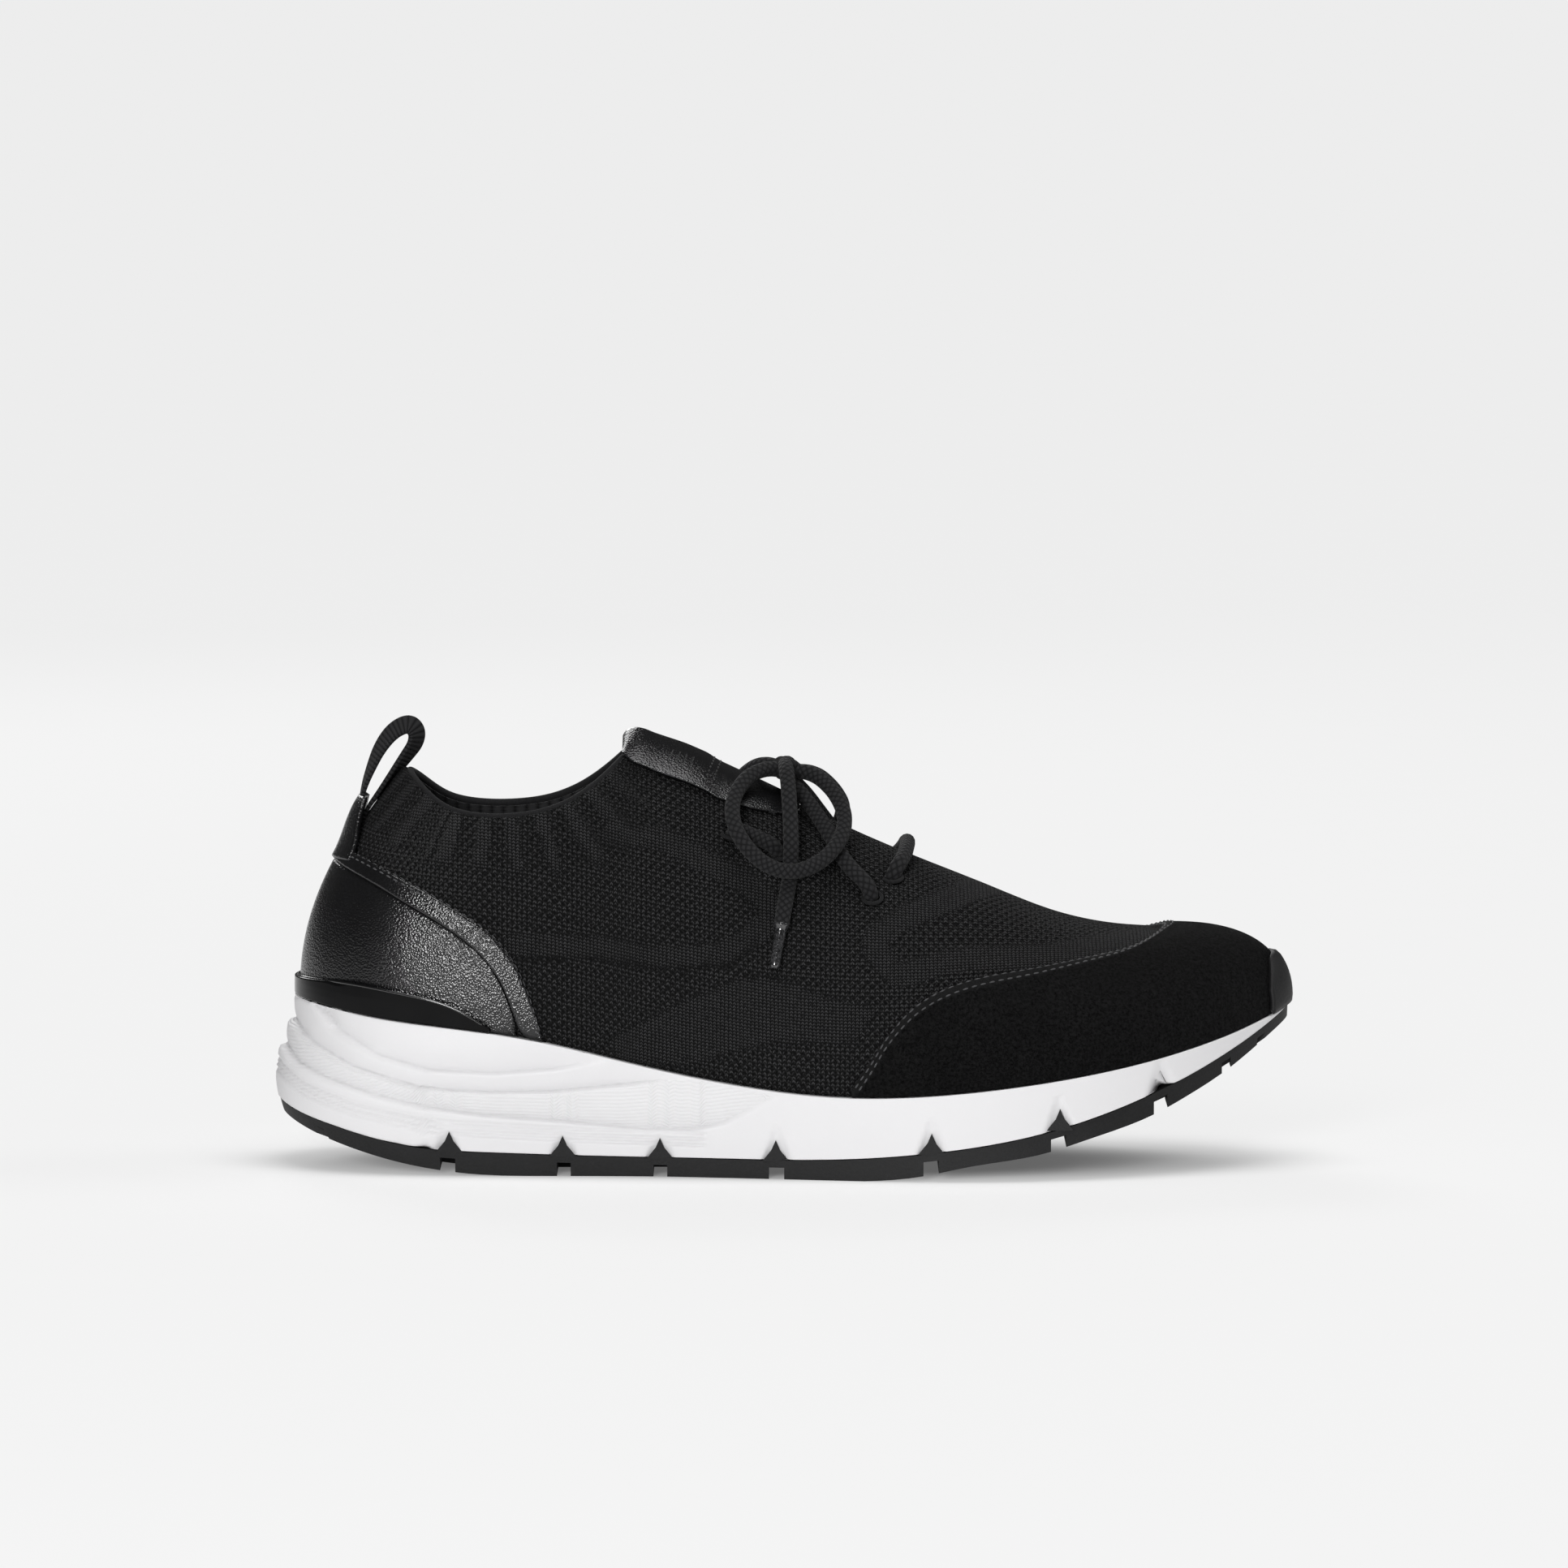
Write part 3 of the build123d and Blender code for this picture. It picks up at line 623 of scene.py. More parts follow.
def distance_to_line(x, v, line):
    """Distance of each place to a broken line."""
    best = np.full(len(x), 1e9)
    for (ax, av), (bx, bv) in zip(line, line[1:]):
        dx, dv = bx - ax, bv - av
        t = np.clip(((x - ax) * dx + (v - av) * dv) / (dx * dx + dv * dv), 0, 1)
        best = np.minimum(best, np.hypot(x - ax - t * dx, v - av - t * dv))
    return best


def inside(x, v, outline):
    """Whether each place is inside an outline."""
    result = np.zeros(len(x), bool)
    for (ax, av), (bx, bv) in zip(outline, outline[1:] + outline[:1]):
        if av != bv:
            result ^= ((av > v) != (bv > v)) & (x < (bx - ax) * (v - av) / (bv - av) + ax)
    return result


def signed(x, v, outline):
    """Distance to an outline, negative inside it."""
    distance = distance_to_line(x, v, outline + outline[:1])
    return np.where(inside(x, v, outline), -distance, distance)


def step(value, start, end):
    """Smooth step from 0 at start to 1 at end."""
    t = np.clip((value - start) / (end - start), 0, 1)
    return t * t * (3 - 2 * t)


def paint_knit(mesh, grid):
    """Marks the zones of the knit on the mesh's vertices."""
    co = grid.reshape(-1, 3) / MM
    x = co[:, 0]
    v = co[:, 2] * math.cos(ELEVATION) - np.abs(co[:, 1]) * math.sin(ELEVATION)
    rim = grid[:, -1] / MM
    rim_along = arc(rim)
    away = [np.linalg.norm(rim - p, axis=1) for p in co]
    nearest = [int(np.argmin(a)) for a in away]
    along = rim_along[nearest]
    down = np.array([a[k] for a, k in zip(away, nearest)])
    band = step(distance_to_line(x, v, UPPER_BAND), 4.0, 3.0)
    flat = step(signed(x, v, MIDDLE_FLAT), 0.7, -0.7)
    vamp = signed(x, v, VAMP_HOLES)
    border = step(np.abs(vamp - VAMP_BORDER / 2), VAMP_BORDER / 2 + 0.6, VAMP_BORDER / 2 - 0.6)
    reach = np.interp(x, *zip(*RIB_REACH))
    width = np.interp(down, [0, 26], [0.0, 0.75])
    ribs = step(np.sin(2 * math.pi * along / RIB_PITCH), width - 0.25, width + 0.25)
    collar = step(down, reach, reach * 0.75 - 0.1)
    set_attribute(mesh, "jersey", np.maximum.reduce([band, flat, border, ribs * collar]))
    set_attribute(mesh, "big_holes", step(vamp, 0.6, -0.6))
    # The collar ribs' relief with its painted light and shade, and the seam fold with its painted shade.
    set_attribute(mesh, "rib_relief_and_shade", (ribs - 0.5) * collar)
    set_attribute(mesh, "fold_and_shade", step(distance_to_line(x, v, UPPER_SEAM), 1.2, 0.2))


# ---- pieces on the CAD surfaces --------------

EYELETS = [(-14.1, -22.7, 98.6), (-0.8, -24.5, 92.6), (26.5, -28.1, 80.5), (32.5, -20.2, 85.6),
           (-14.1, 18.7, 98.6), (-0.8, 20.3, 92.6), (26.8, 25.1, 80.5), (32.7, 19.1, 85.6)]
EYELET_HOLE, EYELET_RING, EYELET_YARN = 2.4 * MM, 2.85 * MM, 0.55 * MM  # radii


def open_eyelets(mesh):
    """Takes out the faces inside the lace holes."""
    shape = bmesh.new()
    shape.from_mesh(mesh)
    centres = [Vector(e) * MM for e in EYELETS]
    inner = [f for f in shape.faces
             if any((f.calc_center_median() - c).length < EYELET_HOLE for c in centres)]
    bmesh.ops.delete(shape, geom=inner, context="FACES")
    shape.to_mesh(mesh)
    shape.free()


def knit_piece():
    """The knitted upper, from the welt to the collar."""
    grids, closed = surface_grid("knit_upper", KNIT_ROWS, 4)
    grid = grids[0]
    mesh = grid_mesh("knit", [grid], closed)
    paint_knit(mesh, grid)
    open_eyelets(mesh)
    piece = link(mesh, knit_material())
    thicken(piece, KNIT_THICKNESS)
    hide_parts("knit_upper")
    return grid


def skin_piece(name, node, rows, thickness, material, marks=None):
    """A cut piece of leather, suede or moulding, over the CAD node that it stands for."""
    grids, closed = surface_grid(node, rows, 5)
    mesh = grid_mesh(name, grids, closed)
    if marks:
        marks(mesh, grids)
    piece = link(mesh, material)
    thicken(piece, thickness)
    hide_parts(node)
    return grids


def mark_pressed(mesh, grids):
    """Marks the pressed band under the suede's stitching."""
    bands = []
    for grid in grids:
        steps = np.linalg.norm(np.diff(grid, axis=1), axis=2) / MM
        down = np.pad(np.cumsum(steps[:, ::-1], axis=1)[:, ::-1], ((0, 0), (0, 1)))
        bands.append(step(down.ravel(), 4.6, 3.9))
    set_attribute(mesh, "pressed", np.concatenate(bands))


def row_at(grid, distance):
    """Points of a grid at one distance in metres from its top edge."""
    points = []
    for column in grid:
        line = column[::-1]
        steps = arc(line)
        if steps[-1] > distance * 1.3:
            points.append([np.interp(distance, steps, line[:, k]) for k in range(3)])
    return np.array(points)


def outside_normals(points):
    """Rough outward direction at points of the upper: away from the shoe's middle line."""
    middle = np.stack([np.clip(points[:, 0], HEEL_X, TOE_X), np.zeros(len(points)),
                       np.interp(points[:, 0], FOOT_X, FOOT_Z) + ABOVE_FOOT], axis=1)
    away = points - middle
    return away / np.linalg.norm(away, axis=1)[:, None]


STITCH_RINGS, STITCH_SIDES = 7, 6


def stitches(points, length, gap, radius):
    """Vertices and faces of a row of stitches: short threads whose ends dip into the surface."""
    steps = arc(points)
    normals = outside_normals(points)
    vertices, faces = [], []
    at = length
    while at + length < steps[-1]:
        places = np.linspace(at, at + length, STITCH_RINGS)
        line = along_line(points, steps, places)
        up = along_line(normals, steps, places)
        along = line[-1] - line[0]
        along /= np.linalg.norm(along)
        across = np.cross(along, up)
        arch = np.sin(np.linspace(0, math.pi, STITCH_RINGS))
        start = len(vertices)
        for p, n, c, a in zip(line, up, across, arch):
            width = radius * (0.45 + 0.55 * a)
            centre = p + n * radius * (a - 0.75)
            for turn in np.linspace(0, 2 * math.pi, STITCH_SIDES + 1)[:-1]:
                vertices.append(centre + width * (n * math.cos(turn) + c * math.sin(turn)))
        for first in range(start, len(vertices) - STITCH_SIDES, STITCH_SIDES):
            for k in range(STITCH_SIDES):
                m = (k + 1) % STITCH_SIDES
                faces.append([first + k, first + m, first + STITCH_SIDES + m, first + STITCH_SIDES + k])
        at += length + gap
    return vertices, faces


def joined(name, parts):
    """Mesh of several parts, each given as its vertices and faces."""
    vertices, faces = [], []
    for points, quads in parts:
        faces += [[len(vertices) + i for i in q] for q in quads]
        vertices += points
    return new_mesh(name, vertices, faces)


def stitch_piece(name, lines, length, gap, radius, body=SHOE, material=None):
    """One piece of all the stitch rows of a seam, with its sizes in millimetres."""
    sizes = [size * MM for size in (length, gap, radius)]
    mesh = joined(name, [stitches(np.asarray(line), *sizes) for line in lines if len(line) > 3])
    return link(mesh, material or THREAD, body=body)


def tube(points, radius, sides=16, closed=False):
    """Vertices, faces and UVs of a tube along points."""
    points = np.asarray(points, float)
    count = len(points)
    if closed:
        tangents = np.roll(points, -1, axis=0) - np.roll(points, 1, axis=0)
    else:
        tangents = np.gradient(points, axis=0)
    tangents /= np.linalg.norm(tangents, axis=1)[:, None]
    up = Vector((0.03, 0.05, 1))
    radii = np.broadcast_to(np.asarray(radius, float), (count,))
    steps = arc(points)
    vertices, faces, uvs = [], [], []
    for p, t, r in zip(points, tangents, radii):
        t = Vector(t)
        side = t.cross(up).normalized()
        top = side.cross(t).normalized()
        up = top
        for k in range(sides):
            turn = 2 * math.pi * k / sides
            vertices.append(Vector(p) + (side * math.cos(turn) + top * math.sin(turn)) * r)
    for i in range(count if closed else count - 1):
        j = (i + 1) % count
        here, there = steps[i], steps[min(i + 1, count - 1)]
        for k in range(sides):
            m = (k + 1) % sides
            faces.append([i * sides + k, i * sides + m, j * sides + m, j * sides + k])
            low, high = k / sides * MM, (k + 1) / sides * MM
            uvs += [(here, low), (here, high), (there, high), (there, low)]
    if not closed:
        faces.append(list(range(sides))[::-1])
        faces.append([(count - 1) * sides + k for k in range(sides)])
        uvs += [(0, 0)] * sides + [(steps[-1], 0)] * sides
    return vertices, faces, uvs


def tube_mesh(name, *args, **kwargs):
    """Mesh of a tube."""
    return new_mesh(name, *tube(*args, **kwargs))


def smooth_path(points, count):
    """Evenly spaced points on a smooth curve through control points, as an open quadratic B-spline."""
    points = np.asarray(points, float)
    middles = (points[:-1] + points[1:]) / 2
    knots = np.concatenate([points[:1], middles, points[-1:]])
    fine = []
    for i, corner in enumerate(points):
        a, b = knots[i], knots[i + 1]
        for t in np.linspace(0, 1, 24, endpoint=False):
            fine.append((1 - t) ** 2 * a + 2 * t * (1 - t) * corner + t * t * b)
    fine.append(knots[-1])
    fine = np.array(fine)
    steps = arc(fine)
    return along_line(fine, steps, np.linspace(0, steps[-1], count))


# ---- laces -----------------------------------

LACE_RADIUS = 2.25 * MM
ROUTES = {
    "lace_front_bar": [
        (31.4, -18, 82.4), (33.3, -22, 88.1), (36, -14.5, 91.1), (36.8, -7, 93.3), (37.2, 1, 94.1),
        (36.8, 8.6, 93.4), (36, 14.6, 91.1), (33.4, 21.2, 88), (31.9, 16.6, 82.5)
    ],
    "lace_strand_lateral": [
        (25.8, -25.2, 77.9), (27.1, -30.6, 82.8), (19, -26, 89.8), (15, -19.5, 96.7),
        (11, -12.6, 102.6), (6.5, -7.8, 108.4), (3, -4.4, 111.6)
    ],
    "lace_strand_medial": [
        (26.5, 21.9, 78.1), (27.1, 27.8, 82.5), (19.2, 23.4, 89.3), (15.4, 17.5, 96.1), (11, 11, 102.4),
        (6.8, 5, 108.6), (3.4, 1, 112)
    ],
    "lace_side_bar_lateral": [
        (-1.5, -21.3, 90.2), (-0.2, -27.1, 94.7), (-7.1, -26.3, 97.7), (-13.6, -25.5, 100.7),
        (-14.8, -19.6, 96.2)
    ],
    "lace_side_bar_medial": [
        (-1.4, 16.9, 90.4), (-0.3, 23.1, 94.4), (-7.1, 22.5, 97.6), (-13.7, 21.6, 100.5),
        (-14.7, 15.3, 96.5)
    ],
    "lace_loop_lateral": [
        (3, -3, 114), (-1.5, -5, 116.6), (-9.5, -13.2, 115), (-14.4, -21.8, 108.2),
        (-13.6, -31.4, 100.6), (-7, -35.8, 92), (1.5, -37.4, 88.2), (10.2, -34.4, 90), (17.2, -27, 96),
        (19.2, -18.5, 103), (15.6, -11, 110), (8.8, -5.5, 115.4), (3.6, -3, 115)
    ],
    "lace_loop_medial": [
        (2.4, -1, 114), (-2.4, 3.6, 117), (-8.8, 11, 115), (-13.8, 19.4, 108.4), (-13.2, 28.2, 101),
        (-7, 31.8, 92), (1.5, 33.7, 88.2), (10, 31, 90.2), (17, 24.6, 96), (18.8, 17, 103),
        (15, 10, 109.6), (9, 4, 114.8), (3.6, -1.5, 114.6)
    ],
    "lace_end_lateral": [
        (1.2, -3.5, 117), (1.6, -10.6, 117), (2.4, -18.4, 110), (3.1, -29.8, 98), (2.8, -31.8, 87),
        (1.27, -36.86, 79.4), (0.2, -38.8, 73.2)
    ],
    "lace_end_medial": [
        (1.2, -1.5, 117), (2.8, 6.8, 117.2), (2.4, 14.4, 110), (3.1, 25.8, 98), (2.8, 27.4, 87),
        (1.18, 31.15, 79.46), (0.2, 33, 73.2)
    ],
}


def lace(name, points):
    """One run of lace as a round cord along its route."""
    data = bpy.data.curves.new(name, "CURVE")
    data.dimensions = "3D"
    data.bevel_depth = LACE_RADIUS
    data.bevel_resolution = 5
    data.use_fill_caps = True
    spline = data.splines.new("NURBS")
    spline.points.add(len(points) - 1)
    for point, place in zip(spline.points, points):
        point.co = (*(c * MM for c in place), 1)
    spline.order_u = 3
    spline.use_endpoint_u = True
    spline.resolution_u = 14
    path = smooth_path(np.array(points) * MM, 200)
    length = float(np.linalg.norm(np.diff(path, axis=0), axis=1).sum())
    data.materials.append(cord_material(name, length))
    piece = bpy.data.objects.new(name + "_cord", data)
    scene.collection.objects.link(piece)
    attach(piece, SHOE)
    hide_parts(name)
    return piece, length


AGLET_SHAPE = [(-0.6, 2.28), (0.0, 2.32), (0.35, 2.05), (1.2, 1.72), (3.0, 1.62), (8.0, 1.56), (11.4, 1.5),
               (12.2, 1.38), (12.7, 1.0), (12.8, 0.3)]  # place along the aglet, radius


def aglet(side, points):
    """Tipped end of the lace: wrapped film, a crimp and a rounded end."""
    end, before = Vector(points[-1]) * MM, Vector(points[-2]) * MM
    way = (end - before).normalized()
    even = np.linspace(0, len(AGLET_SHAPE) - 1, 40)
    places, radii = [np.interp(even, range(len(AGLET_SHAPE)), column) for column in zip(*AGLET_SHAPE)]
    line = [end + way * p * MM for p in places]
    mesh = tube_mesh("aglet_film_" + side, line, radii * MM, 24)
    piece = link(mesh, aglet_material())
    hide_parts("aglet_" + side)
    return piece


KNOT_ROUTE = [(-1.5, 3.2, -1.2), (-3.0, 0.5, 0.8), (-1.8, -3.0, 1.2), (1.2, -3.4, -0.6), (3.0, -1.0, -1.4),
              (2.2, 2.4, 0.4), (-0.6, 3.0, 1.6), (-2.4, 0.4, 1.9), (-0.6, -2.6, 1.7), (2.0, -2.2, 0.6)]


def knot():
    """Tied middle of the bow: the lace goes over, round and under itself."""
    low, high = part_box("lace_knot")
    middle = (low + high) / 2 / MM
    path = smooth_path([middle + Vector(point) for point in KNOT_ROUTE], 110) * MM
    mesh = tube_mesh("knot_wrap", path, LACE_RADIUS * 0.95, 20)
    piece = link(mesh, knot_material())
    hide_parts("lace_knot")


def laces():
    """The whole lacing: tipped ends, the knot and the cords."""
    tips = {side: aglet(side, ROUTES["lace_end_" + side]) for side in ("lateral", "medial")}
    knot()
    for name, points in ROUTES.items():
        piece, length = lace(name, points)
        if length < 0.03:
            continue


# ---- eyelets and parts kept as they are ------

def eyelet_rings():
    """Bound rims of the lace holes."""
    rings = []
    for place in EYELETS:
        centre = np.array(place) * MM
        n = Vector(outside_normals(centre[None])[0])
        a = n.orthogonal().normalized()
        b = n.cross(a)
        ring = [Vector(centre) + (a * math.cos(t) + b * math.sin(t)) * EYELET_RING - n * 0.1 * MM
                for t in np.linspace(0, 2 * math.pi, 33)[:-1]]
        rings.append(tube(ring, EYELET_YARN, 10, closed=True)[:2])
    link(joined("eyelet_binding", rings), cloth_material("binding"))


def carry_over(node, material):
    """Gives a material to a CAD node that is shown as it is."""
    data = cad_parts[node].data
    data.materials.clear()
    data.materials.append(material)


# ---- tongue, heel and seams ------------------

STRIP_SHAPE = [(-46.3, 11.5), (-45, 13.2), (-43, 14.8), (-36, 15.8), (-20, 17.6), (-8, 17), (0, 15),
               (3.5, 12.5), (5.6, 9.5)]  # place along the shoe, half width
STRIP_PLACES = np.r_[np.linspace(-46.2, -38, 28), np.linspace(-37.2, 5.5, 62)]
STRIP_SHARES = np.sin(np.linspace(-math.pi / 2, math.pi / 2, 41)) * 0.985  # of the half width
STRIP_CURL, CURL_DROP = -38.5, 6.2 * MM  # the upper end curls down behind this place
STRIP_SEAMS, STRIP_MOTIF = (-17.5, -19.3), (-26, -28, -30, -32)


def strip_point(tree, x, share):
    """Point of the strip's face at x, and at a share of its half width."""
    width = np.interp(x, *zip(*STRIP_SHAPE))
    found = tree.ray_cast(Vector((x * MM, share * width * MM, 0.2)), Vector((0, 0, -1)), 0.2)[0]
    return tuple(found) if found else None


def strip_rows(tree):
    """Points of the strip's face, bridged over the slit between its CAD nodes and curled at the end."""
    grid = np.full((len(STRIP_PLACES), len(STRIP_SHARES), 3), np.nan)
    for i, x in enumerate(STRIP_PLACES):
        for k, share in enumerate(STRIP_SHARES):
            point = strip_point(tree, x, share)
            if point:
                grid[i, k] = point
    for k in range(len(STRIP_SHARES)):
        for axis in range(3):
            column = grid[:, k, axis]
            good = ~np.isnan(column)
            grid[:, k, axis] = np.interp(STRIP_PLACES, STRIP_PLACES[good], column[good])
    curl = np.clip((STRIP_CURL - STRIP_PLACES) / (STRIP_CURL - STRIP_PLACES[0]), 0, 1)
    drop = CURL_DROP * (1 - np.sqrt(1 - 0.98 * curl ** 2))
    grid[:, :, 2] -= drop[:, None] * (1 - 0.6 * STRIP_SHARES[None, :] ** 2)
    return grid


def tongue_strip():
    """Leather strip over the instep, whose upper end curls down, with its stitching."""
    grid = smooth_along(strip_rows(tree_of("tongue_patch", "tongue_tab")), 6, False)
    mesh = grid_mesh("tongue_strip", [grid], False)
    strip = link(mesh, leather_material("tongue_leather"), body=None)
    thicken(strip, 1.3 * MM)
    apply_modifiers(strip)
    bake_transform(strip)
    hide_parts("tongue_patch", "tongue_tab")
    arcs = [[(x - 3.4 * abs(t) ** 1.5, t) for t in np.linspace(-0.93, 0.93, 40)] for x in STRIP_SEAMS]
    bars = [[(x + 1.5 * t, 0.42 * t - 0.62) for t in np.linspace(-0.5, 0.5, 8)] for x in STRIP_MOTIF]
    arcs, bars = [[strip_line(grid, route) for route in routes] for routes in (arcs, bars)]
    seam = stitch_piece("tongue_seam", arcs, 1.5, 0.8, 0.24, body=None, material=DARK_THREAD)
    motif = stitch_piece("tongue_motif", bars, 0.9, 0.1, 0.26, body=None, material=DARK_THREAD)
    for piece in (seam, motif):
        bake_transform(piece)


def strip_line(grid, route):
    """Line on the strip's face through places given as x and the share of the half width."""
    points = []
    for x, share in route:
        row = [[np.interp(x, STRIP_PLACES, grid[:, k, axis]) for axis in range(3)]
               for k in range(len(STRIP_SHARES))]
        points.append([np.interp(share, STRIP_SHARES, column) for column in zip(*row)])
    return np.array(points)


TAB_SHAPE = [(89.5, 16), (91, 15.5), (96, 14), (101, 11.5), (105, 9.5), (107.2, 7.5)]  # height, half width
TAB_OUT = 1.95  # from the knit to the tab's outer face


def heel_tab_piece():
    """Stiff leather tab that stands up behind the back seam."""
    tree = tree_of("knit_upper")
    heights = np.linspace(TAB_SHAPE[0][0], TAB_SHAPE[-1][0], 28)
    shares = np.linspace(-1, 1, 25)
    grid = []
    for z in heights:
        width = np.interp(z, *zip(*TAB_SHAPE))
        lean = 3.7 * step(z, 90, 108) - 1.0
        row = []
        for share in shares:
            y = share * width
            found = tree.ray_cast(Vector((-0.25, y * MM, z * MM)), Vector((1, 0, 0)), 0.16)[0]
            row.append((found.x - (TAB_OUT + lean) * MM, y * MM, z * MM) if found else (np.nan,) * 3)
        row = np.array(row)
        good = ~np.isnan(row[:, 0])
        for axis in range(3):
            row[:, axis] = np.interp(shares, shares[good], row[good, axis])
        grid.append(row)
    grid = smooth_along(np.array(grid), 3, False)
    mesh = grid_mesh("heel_tab_leather", [grid], False, flip=True)
    piece = link(mesh, leather_material("tab_leather"))
    thicken(piece, 1.5 * MM)
    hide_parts("heel_tab")
    stitch_piece("heel_tab_stitching", [grid[:, 2], grid[:, -3]], 1.5, 0.8, 0.22)


LOOP_ROUTE = [(-124, 100), (-122.9, 104.6), (-122, 109.8), (-120, 115.4), (-117.2, 121.8), (-113.3, 126.8),
              (-108.7, 129), (-106.2, 126.6), (-106.6, 123), (-109.2, 119.4), (-112.9, 114.4), (-117, 109),
              (-120.9, 104), (-122.6, 99.5)]
LOOP_HALF_WIDTH, LOOP_THICKNESS, LOOP_TWIST = 4.5, 1.25, 0.42  # millimetres, millimetres, radians


def pull_loop_piece():
    """Ribbed webbing of the pull loop, which twists a little on its way."""
    line = smooth_path([(x * MM, 0, z * MM) for x, z in LOOP_ROUTE], 150)
    tangents = np.gradient(line, axis=0)
    tangents /= np.linalg.norm(tangents, axis=1)[:, None]
    turn = LOOP_TWIST * np.sin(np.linspace(0, math.pi, len(line))) ** 2
    grid = []
    for p, t, a in zip(line, tangents, turn):
        normal = np.array((-t[2], 0, t[0]))
        across = np.array((0, math.cos(a), 0)) + normal * math.sin(a)
        grid.append([p + across * w * MM for w in np.linspace(-LOOP_HALF_WIDTH, LOOP_HALF_WIDTH, 15)])
    mesh = grid_mesh("pull_loop_webbing", [np.array(grid)], False)
    g = Graph("webbing")
    ribs = g.ridges(g.uv()[0], 1.3)
    # Painted light on the webbing's ribs and painted shade between them.
    level = g.times(g.plus(ribs, 0.2), g.mix(g.noise(0.4), 0.6, 1.3))
    shade = g.colour(level, DARK_YARN, LIGHT_YARN)
    material = g.finish(shade, 0.9, g.bump(ribs, 0.4, 0.9), specular=0.1)
    piece = link(mesh, material)
    thicken(piece, LOOP_THICKNESS * MM, 0)
    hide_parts("pull_loop")


def apply_modifiers(piece):
    """Makes the piece's modifiers part of its mesh."""
    mesh = bpy.data.meshes.new_from_object(piece.evaluated_get(bpy.context.evaluated_depsgraph_get()))
    piece.modifiers.clear()
    piece.data = mesh


CLIP_BEAD_OUT, CLIP_BEAD_RADIUS = 0.45 * MM, 0.42 * MM
COLLAR_FRONT, COLLAR_RADIUS = -0.0455, 1.25 * MM  # the rim ends where the tongue begins


def clip_bead():
    """Polished bead along the heel clip's upper edge."""
    edge = max(CLIP_GRIDS, key=len)[::4, -1]
    line = smooth_path(edge + outside_normals(edge) * CLIP_BEAD_OUT, 400)
    bead = tube_mesh("clip_bead", line, CLIP_BEAD_RADIUS, 10)
    link(bead, clip_material("clip_edge", 0.9))


def seams():
    """Stitching of the suede and the welt, and the rolled rim of the collar."""
    for name, grids, places, radius in (("suede_stitching", SUEDE_GRIDS, (1.3, 3.6), 0.26),
                                        ("welt_stitching", WELT_GRIDS, (0.9, 3.0), 0.24)):
        stitch_piece(name, [row_at(grid, d * MM) for grid in grids for d in places], 1.9, 0.8, radius)
    rim = np.array([p for p in KNIT[:, -1] if p[0] < COLLAR_FRONT and abs(p[1]) > 0.0015])
    turn = [k for k in range(len(rim)) if np.linalg.norm(rim[k] - rim[k - 1]) > 0.008]
    rim = np.roll(rim, -turn[0], axis=0) if turn else rim
    inward = -outside_normals(rim)
    inward[:, 2] *= 0.3
    mesh = tube_mesh("collar_rim", smooth_path(rim + inward * MM, 260), COLLAR_RADIUS, 14)
    link(mesh, cloth_material("collar_yarn"))


# ---- sole ------------------------------------

BAND_LINES = [
    [(-135.7, 48.9), (-130.3, 41.8), (-119, 35.6), (-102.5, 31.5), (-82.3, 30.6), (-65.7, 31.8),
     (-48.4, 34.9)],
    [(-152, 45.5), (-144, 42.5), (-139, 38), (-125.8, 31.8), (-105.8, 26.5), (-86, 25.1), (-65.7, 25.3),
     (-44, 27.5), (-28.2, 29.4)],
    [(-153, 37.5), (-146.4, 35.1), (-142.4, 31.3), (-132.4, 27.5), (-119, 23.9), (-102.5, 20.6),
     (-86, 18.4), (-65.7, 16.8), (-38, 14.2), (-26, 14.2), (-16.8, 16.5), (-7.6, 21.5), (-1.7, 24.2)],
]
FINE_LINE = [(-147.6, 27.5), (-140, 22.5), (-125, 17.5), (-99, 12.5), (-60, 10.2), (-23, 9.1)]
FINE_LIFTS = (0.4, 2.1, 3.8)
WALL_ROWS, WALL_TRIM = 90, 0.25 * MM
BAND_DEPTH, FINE_DEPTH, NOTCH_DEPTH = 2.5, 0.9, 1.8
BAND_FADE, BAND_EDGE, FINE_WIDTH = 3.6, 0.6, 0.5  # how fast a band's groove fades above and below its line
NOTCHES = [-96.6, -62.9, -34.9, -1.2, 43.4, 80.2, 110]  # places of the outsole's flex grooves
NOTCH_HEIGHT, NOTCH_WIDTH = 11, 4.2
POCKET_OUTLINE = ((-3.9, -0.6), (3.9, -0.6), (1.3, 2.6), (0, 5.6), (-1.3, 2.6))
POCKET_SINK = (0.35, 7)  # how far its two faces lie inside the wall
TAPE_SHAPE = ((9.2, 0.2), (8.6, 1.4), (7.6, 1.9), (6.4, 1.4), (5.4, 0.4))  # inwards and up from the wall
FOLD_FOOT, FOLD_TOP = (16, 8, 3, 0.6), (0.6, 2.5, 6, 9)  # the wall's edges turn inwards by these
FOLD = len(FOLD_FOOT)


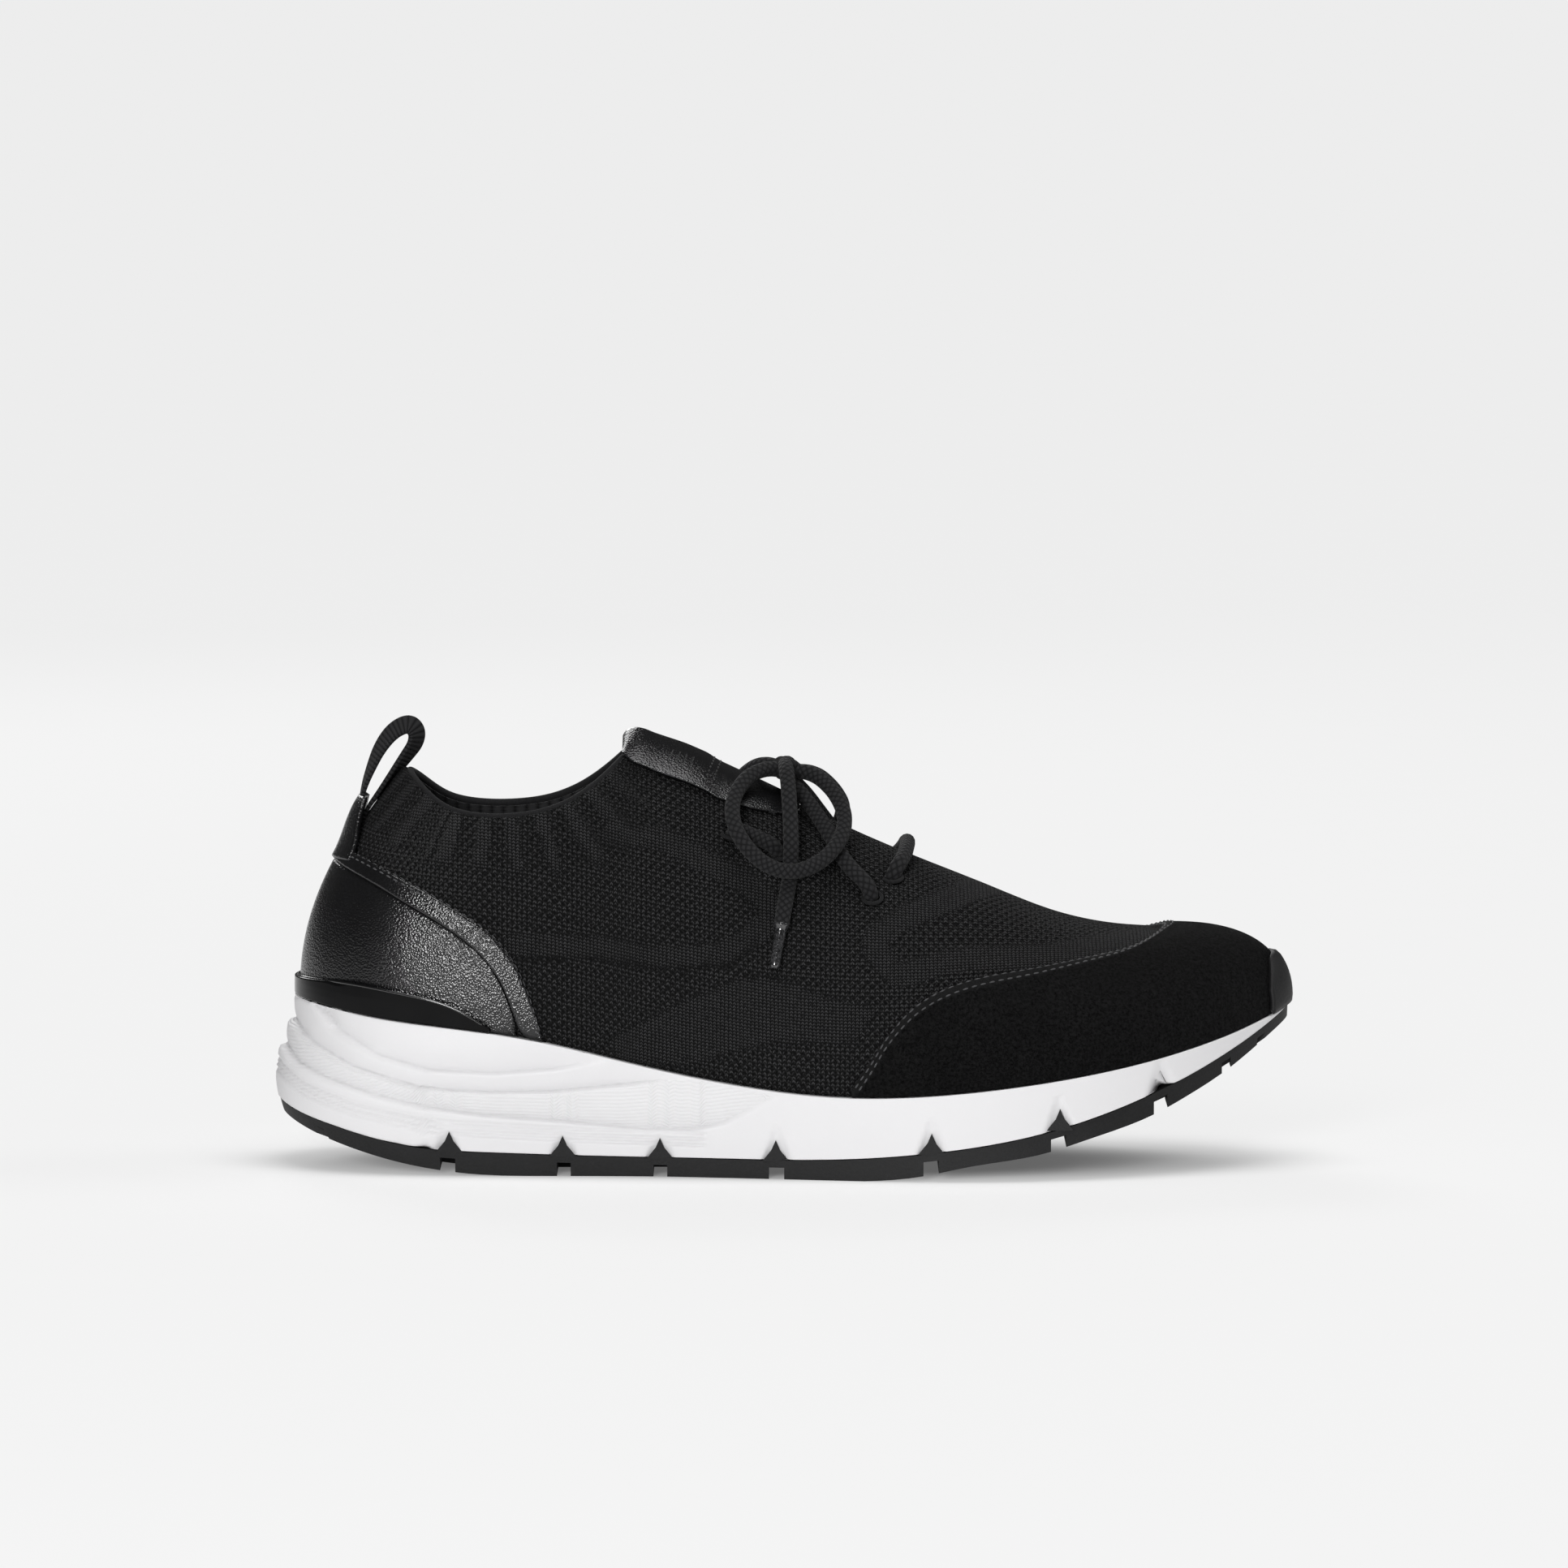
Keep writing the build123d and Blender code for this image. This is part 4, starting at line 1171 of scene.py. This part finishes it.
def sculpt(grid, inward):
    """Presses bands and flex notches into the side walls, and returns where the striped band is."""
    count, rows = grid.shape[:2]
    co = grid.reshape(-1, 3) / MM
    x, z = co[:, 0], co[:, 2]
    depth = np.zeros(len(co))
    for line in BAND_LINES:
        away = distance_to_line(x, z, line)
        over = z > np.interp(x, *zip(*line))
        fade = step(x, line[-1][0] + 2, line[-1][0] - 22)
        groove = np.where(over, np.exp(-away / BAND_FADE), np.exp(-((away / BAND_EDGE) ** 2)))
        depth += BAND_DEPTH * fade * groove
    for lift in FINE_LIFTS:
        line = [(a, b + lift) for a, b in FINE_LINE]
        away = distance_to_line(x, z, line)
        depth = np.maximum(depth, FINE_DEPTH * np.exp(-((away / FINE_WIDTH) ** 2)))
    bottom = np.repeat(grid[:, FOLD, 2] / MM, rows)
    rise = np.clip(1 - (z - bottom) / NOTCH_HEIGHT, 0, 1)
    for place in NOTCHES:
        across = np.abs(x - place) / (NOTCH_WIDTH * rise + 0.01)
        depth = np.maximum(depth, NOTCH_DEPTH * rise * step(across, 1.15, 0.55))
    inner = np.tile(np.r_[np.zeros(FOLD), np.ones(rows - 2 * FOLD), np.zeros(FOLD)], count)
    push = (depth * inner * MM).reshape(count, rows, 1) * inward[:, None, :]
    return grid + push, inside(x, z, BAND_LINES[1] + BAND_LINES[2][::-1])


def flex_pockets(grid, inward):
    """Rubber that shows at the bottom of each flex notch."""
    vertices, faces = [], []
    for place in NOTCHES:
        for sign in (-1, 1):
            columns = [i for i in range(len(grid)) if grid[i, FOLD, 1] * sign > 0.012]
            column = min(columns, key=lambda i: abs(grid[i, FOLD, 0] - place * MM))
            foot, way = grid[column, FOLD], inward[column]
            start, corners = len(vertices), len(POCKET_OUTLINE)
            for sink in POCKET_SINK:
                for dx, dz in POCKET_OUTLINE:
                    rises = grid[column, FOLD:-FOLD, 2] - foot[2]
                    wall = grid[column, FOLD + int(np.argmin(np.abs(rises - max(dz, 0) * MM)))]
                    vertices.append((foot[0] + dx * MM, wall[1] + way[1] * sink * MM, foot[2] + dz * MM))
            front = [start + k for k in range(corners)]
            back = [start + corners + k for k in range(corners)]
            faces += [front[::sign], back[::-sign]]
            faces += [[front[k - 1], back[k - 1], back[k], front[k]][::sign] for k in range(corners)]
    piece = link(new_mesh("flex_pockets", vertices, faces), RUBBER)
    piece.data.shade_flat()


def show_sole():
    """Midsole's side walls with their moulded lines, and the taped seam along their upper edge."""
    tree = tree_of("midsole")
    low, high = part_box("midsole")
    heights = np.linspace(low.z - 2 * MM, high.z + 2 * MM, WALL_STEPS)
    places = columns_round(*WALL_COLUMNS)
    columns = [profile(lambda h, s=s: level_hit(tree, s, h), heights, WALL_ROWS, WALL_TRIM) for s in places]
    grid = smooth_along(np.array(columns), 4, True)
    inward = np.array([(-spoke(s)[2], -spoke(s)[3], 0) for s in places])
    tape = np.stack([grid[:, -1] + inward * w * MM + (0, 0, h * MM) for w, h in TAPE_SHAPE], 1)
    link(grid_mesh("seam_tape", [tape], True), cloth_material("tape_cloth"))
    top = [grid[:, -1] + inward * w * MM for w in FOLD_TOP]
    bottom = [grid[:, 0] + inward * w * MM for w in FOLD_FOOT]
    grid = np.concatenate([np.stack(bottom, 1), grid, np.stack(top, 1)], axis=1)
    flex_pockets(grid, inward)
    grid, striped = sculpt(grid, inward)
    mesh = grid_mesh("midsole_wall", [grid], True)
    set_attribute(mesh, "striped", striped)
    piece = link(mesh, foam_material())
    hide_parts("midsole")


# ---- build -----------------------------------

scene.view_settings.view_transform = "Standard"
THREAD = thread_material("thread", (0.012, 0.012, 0.013), (0.075, 0.075, 0.08))
DARK_THREAD = thread_material("dark_thread", (0.0005, 0.0005, 0.0006), (0.004, 0.004, 0.0042))
RUBBER = rubber_material()
add_camera()
add_stage()
laces()
KNIT = knit_piece()
skin_piece("heel_leather_skin", "heel_leather", 40, 1.1 * MM, leather_material())
WELT_GRIDS = skin_piece("heel_welt_skin", "heel_welt", 12, 1.7 * MM, leather_material())
SUEDE_GRIDS = skin_piece("toe_suede", "toe_cap", 44, 1.2 * MM, suede_material(), marks=mark_pressed)
skin_piece("toe_bumper_skin", "toe_bumper", 12, 1.4 * MM, RUBBER)
CLIP_GRIDS = skin_piece("heel_clip_skin", "heel_clip", 24, 1.3 * MM, clip_material())
eyelet_rings()
show_sole()
carry_over("outsole", RUBBER)
heel_tab_piece()
pull_loop_piece()
tongue_strip()
seams()
clip_bead()
carry_over("collar_lining", lining_material())
for node in ("heel_counter", "toe_puff", "eyelet_stay_lateral", "eyelet_stay_medial"):
    carry_over(node, cloth_material("lining_" + node, (0.006, 0.006, 0.0065), (0.028, 0.028, 0.03), 0.6))
for node in ("insole_board", "insole_foam", "insole_top_cloth"):
    carry_over(node, cloth_material("insole_" + node, (0.006, 0.006, 0.0065), (0.03, 0.03, 0.032)))
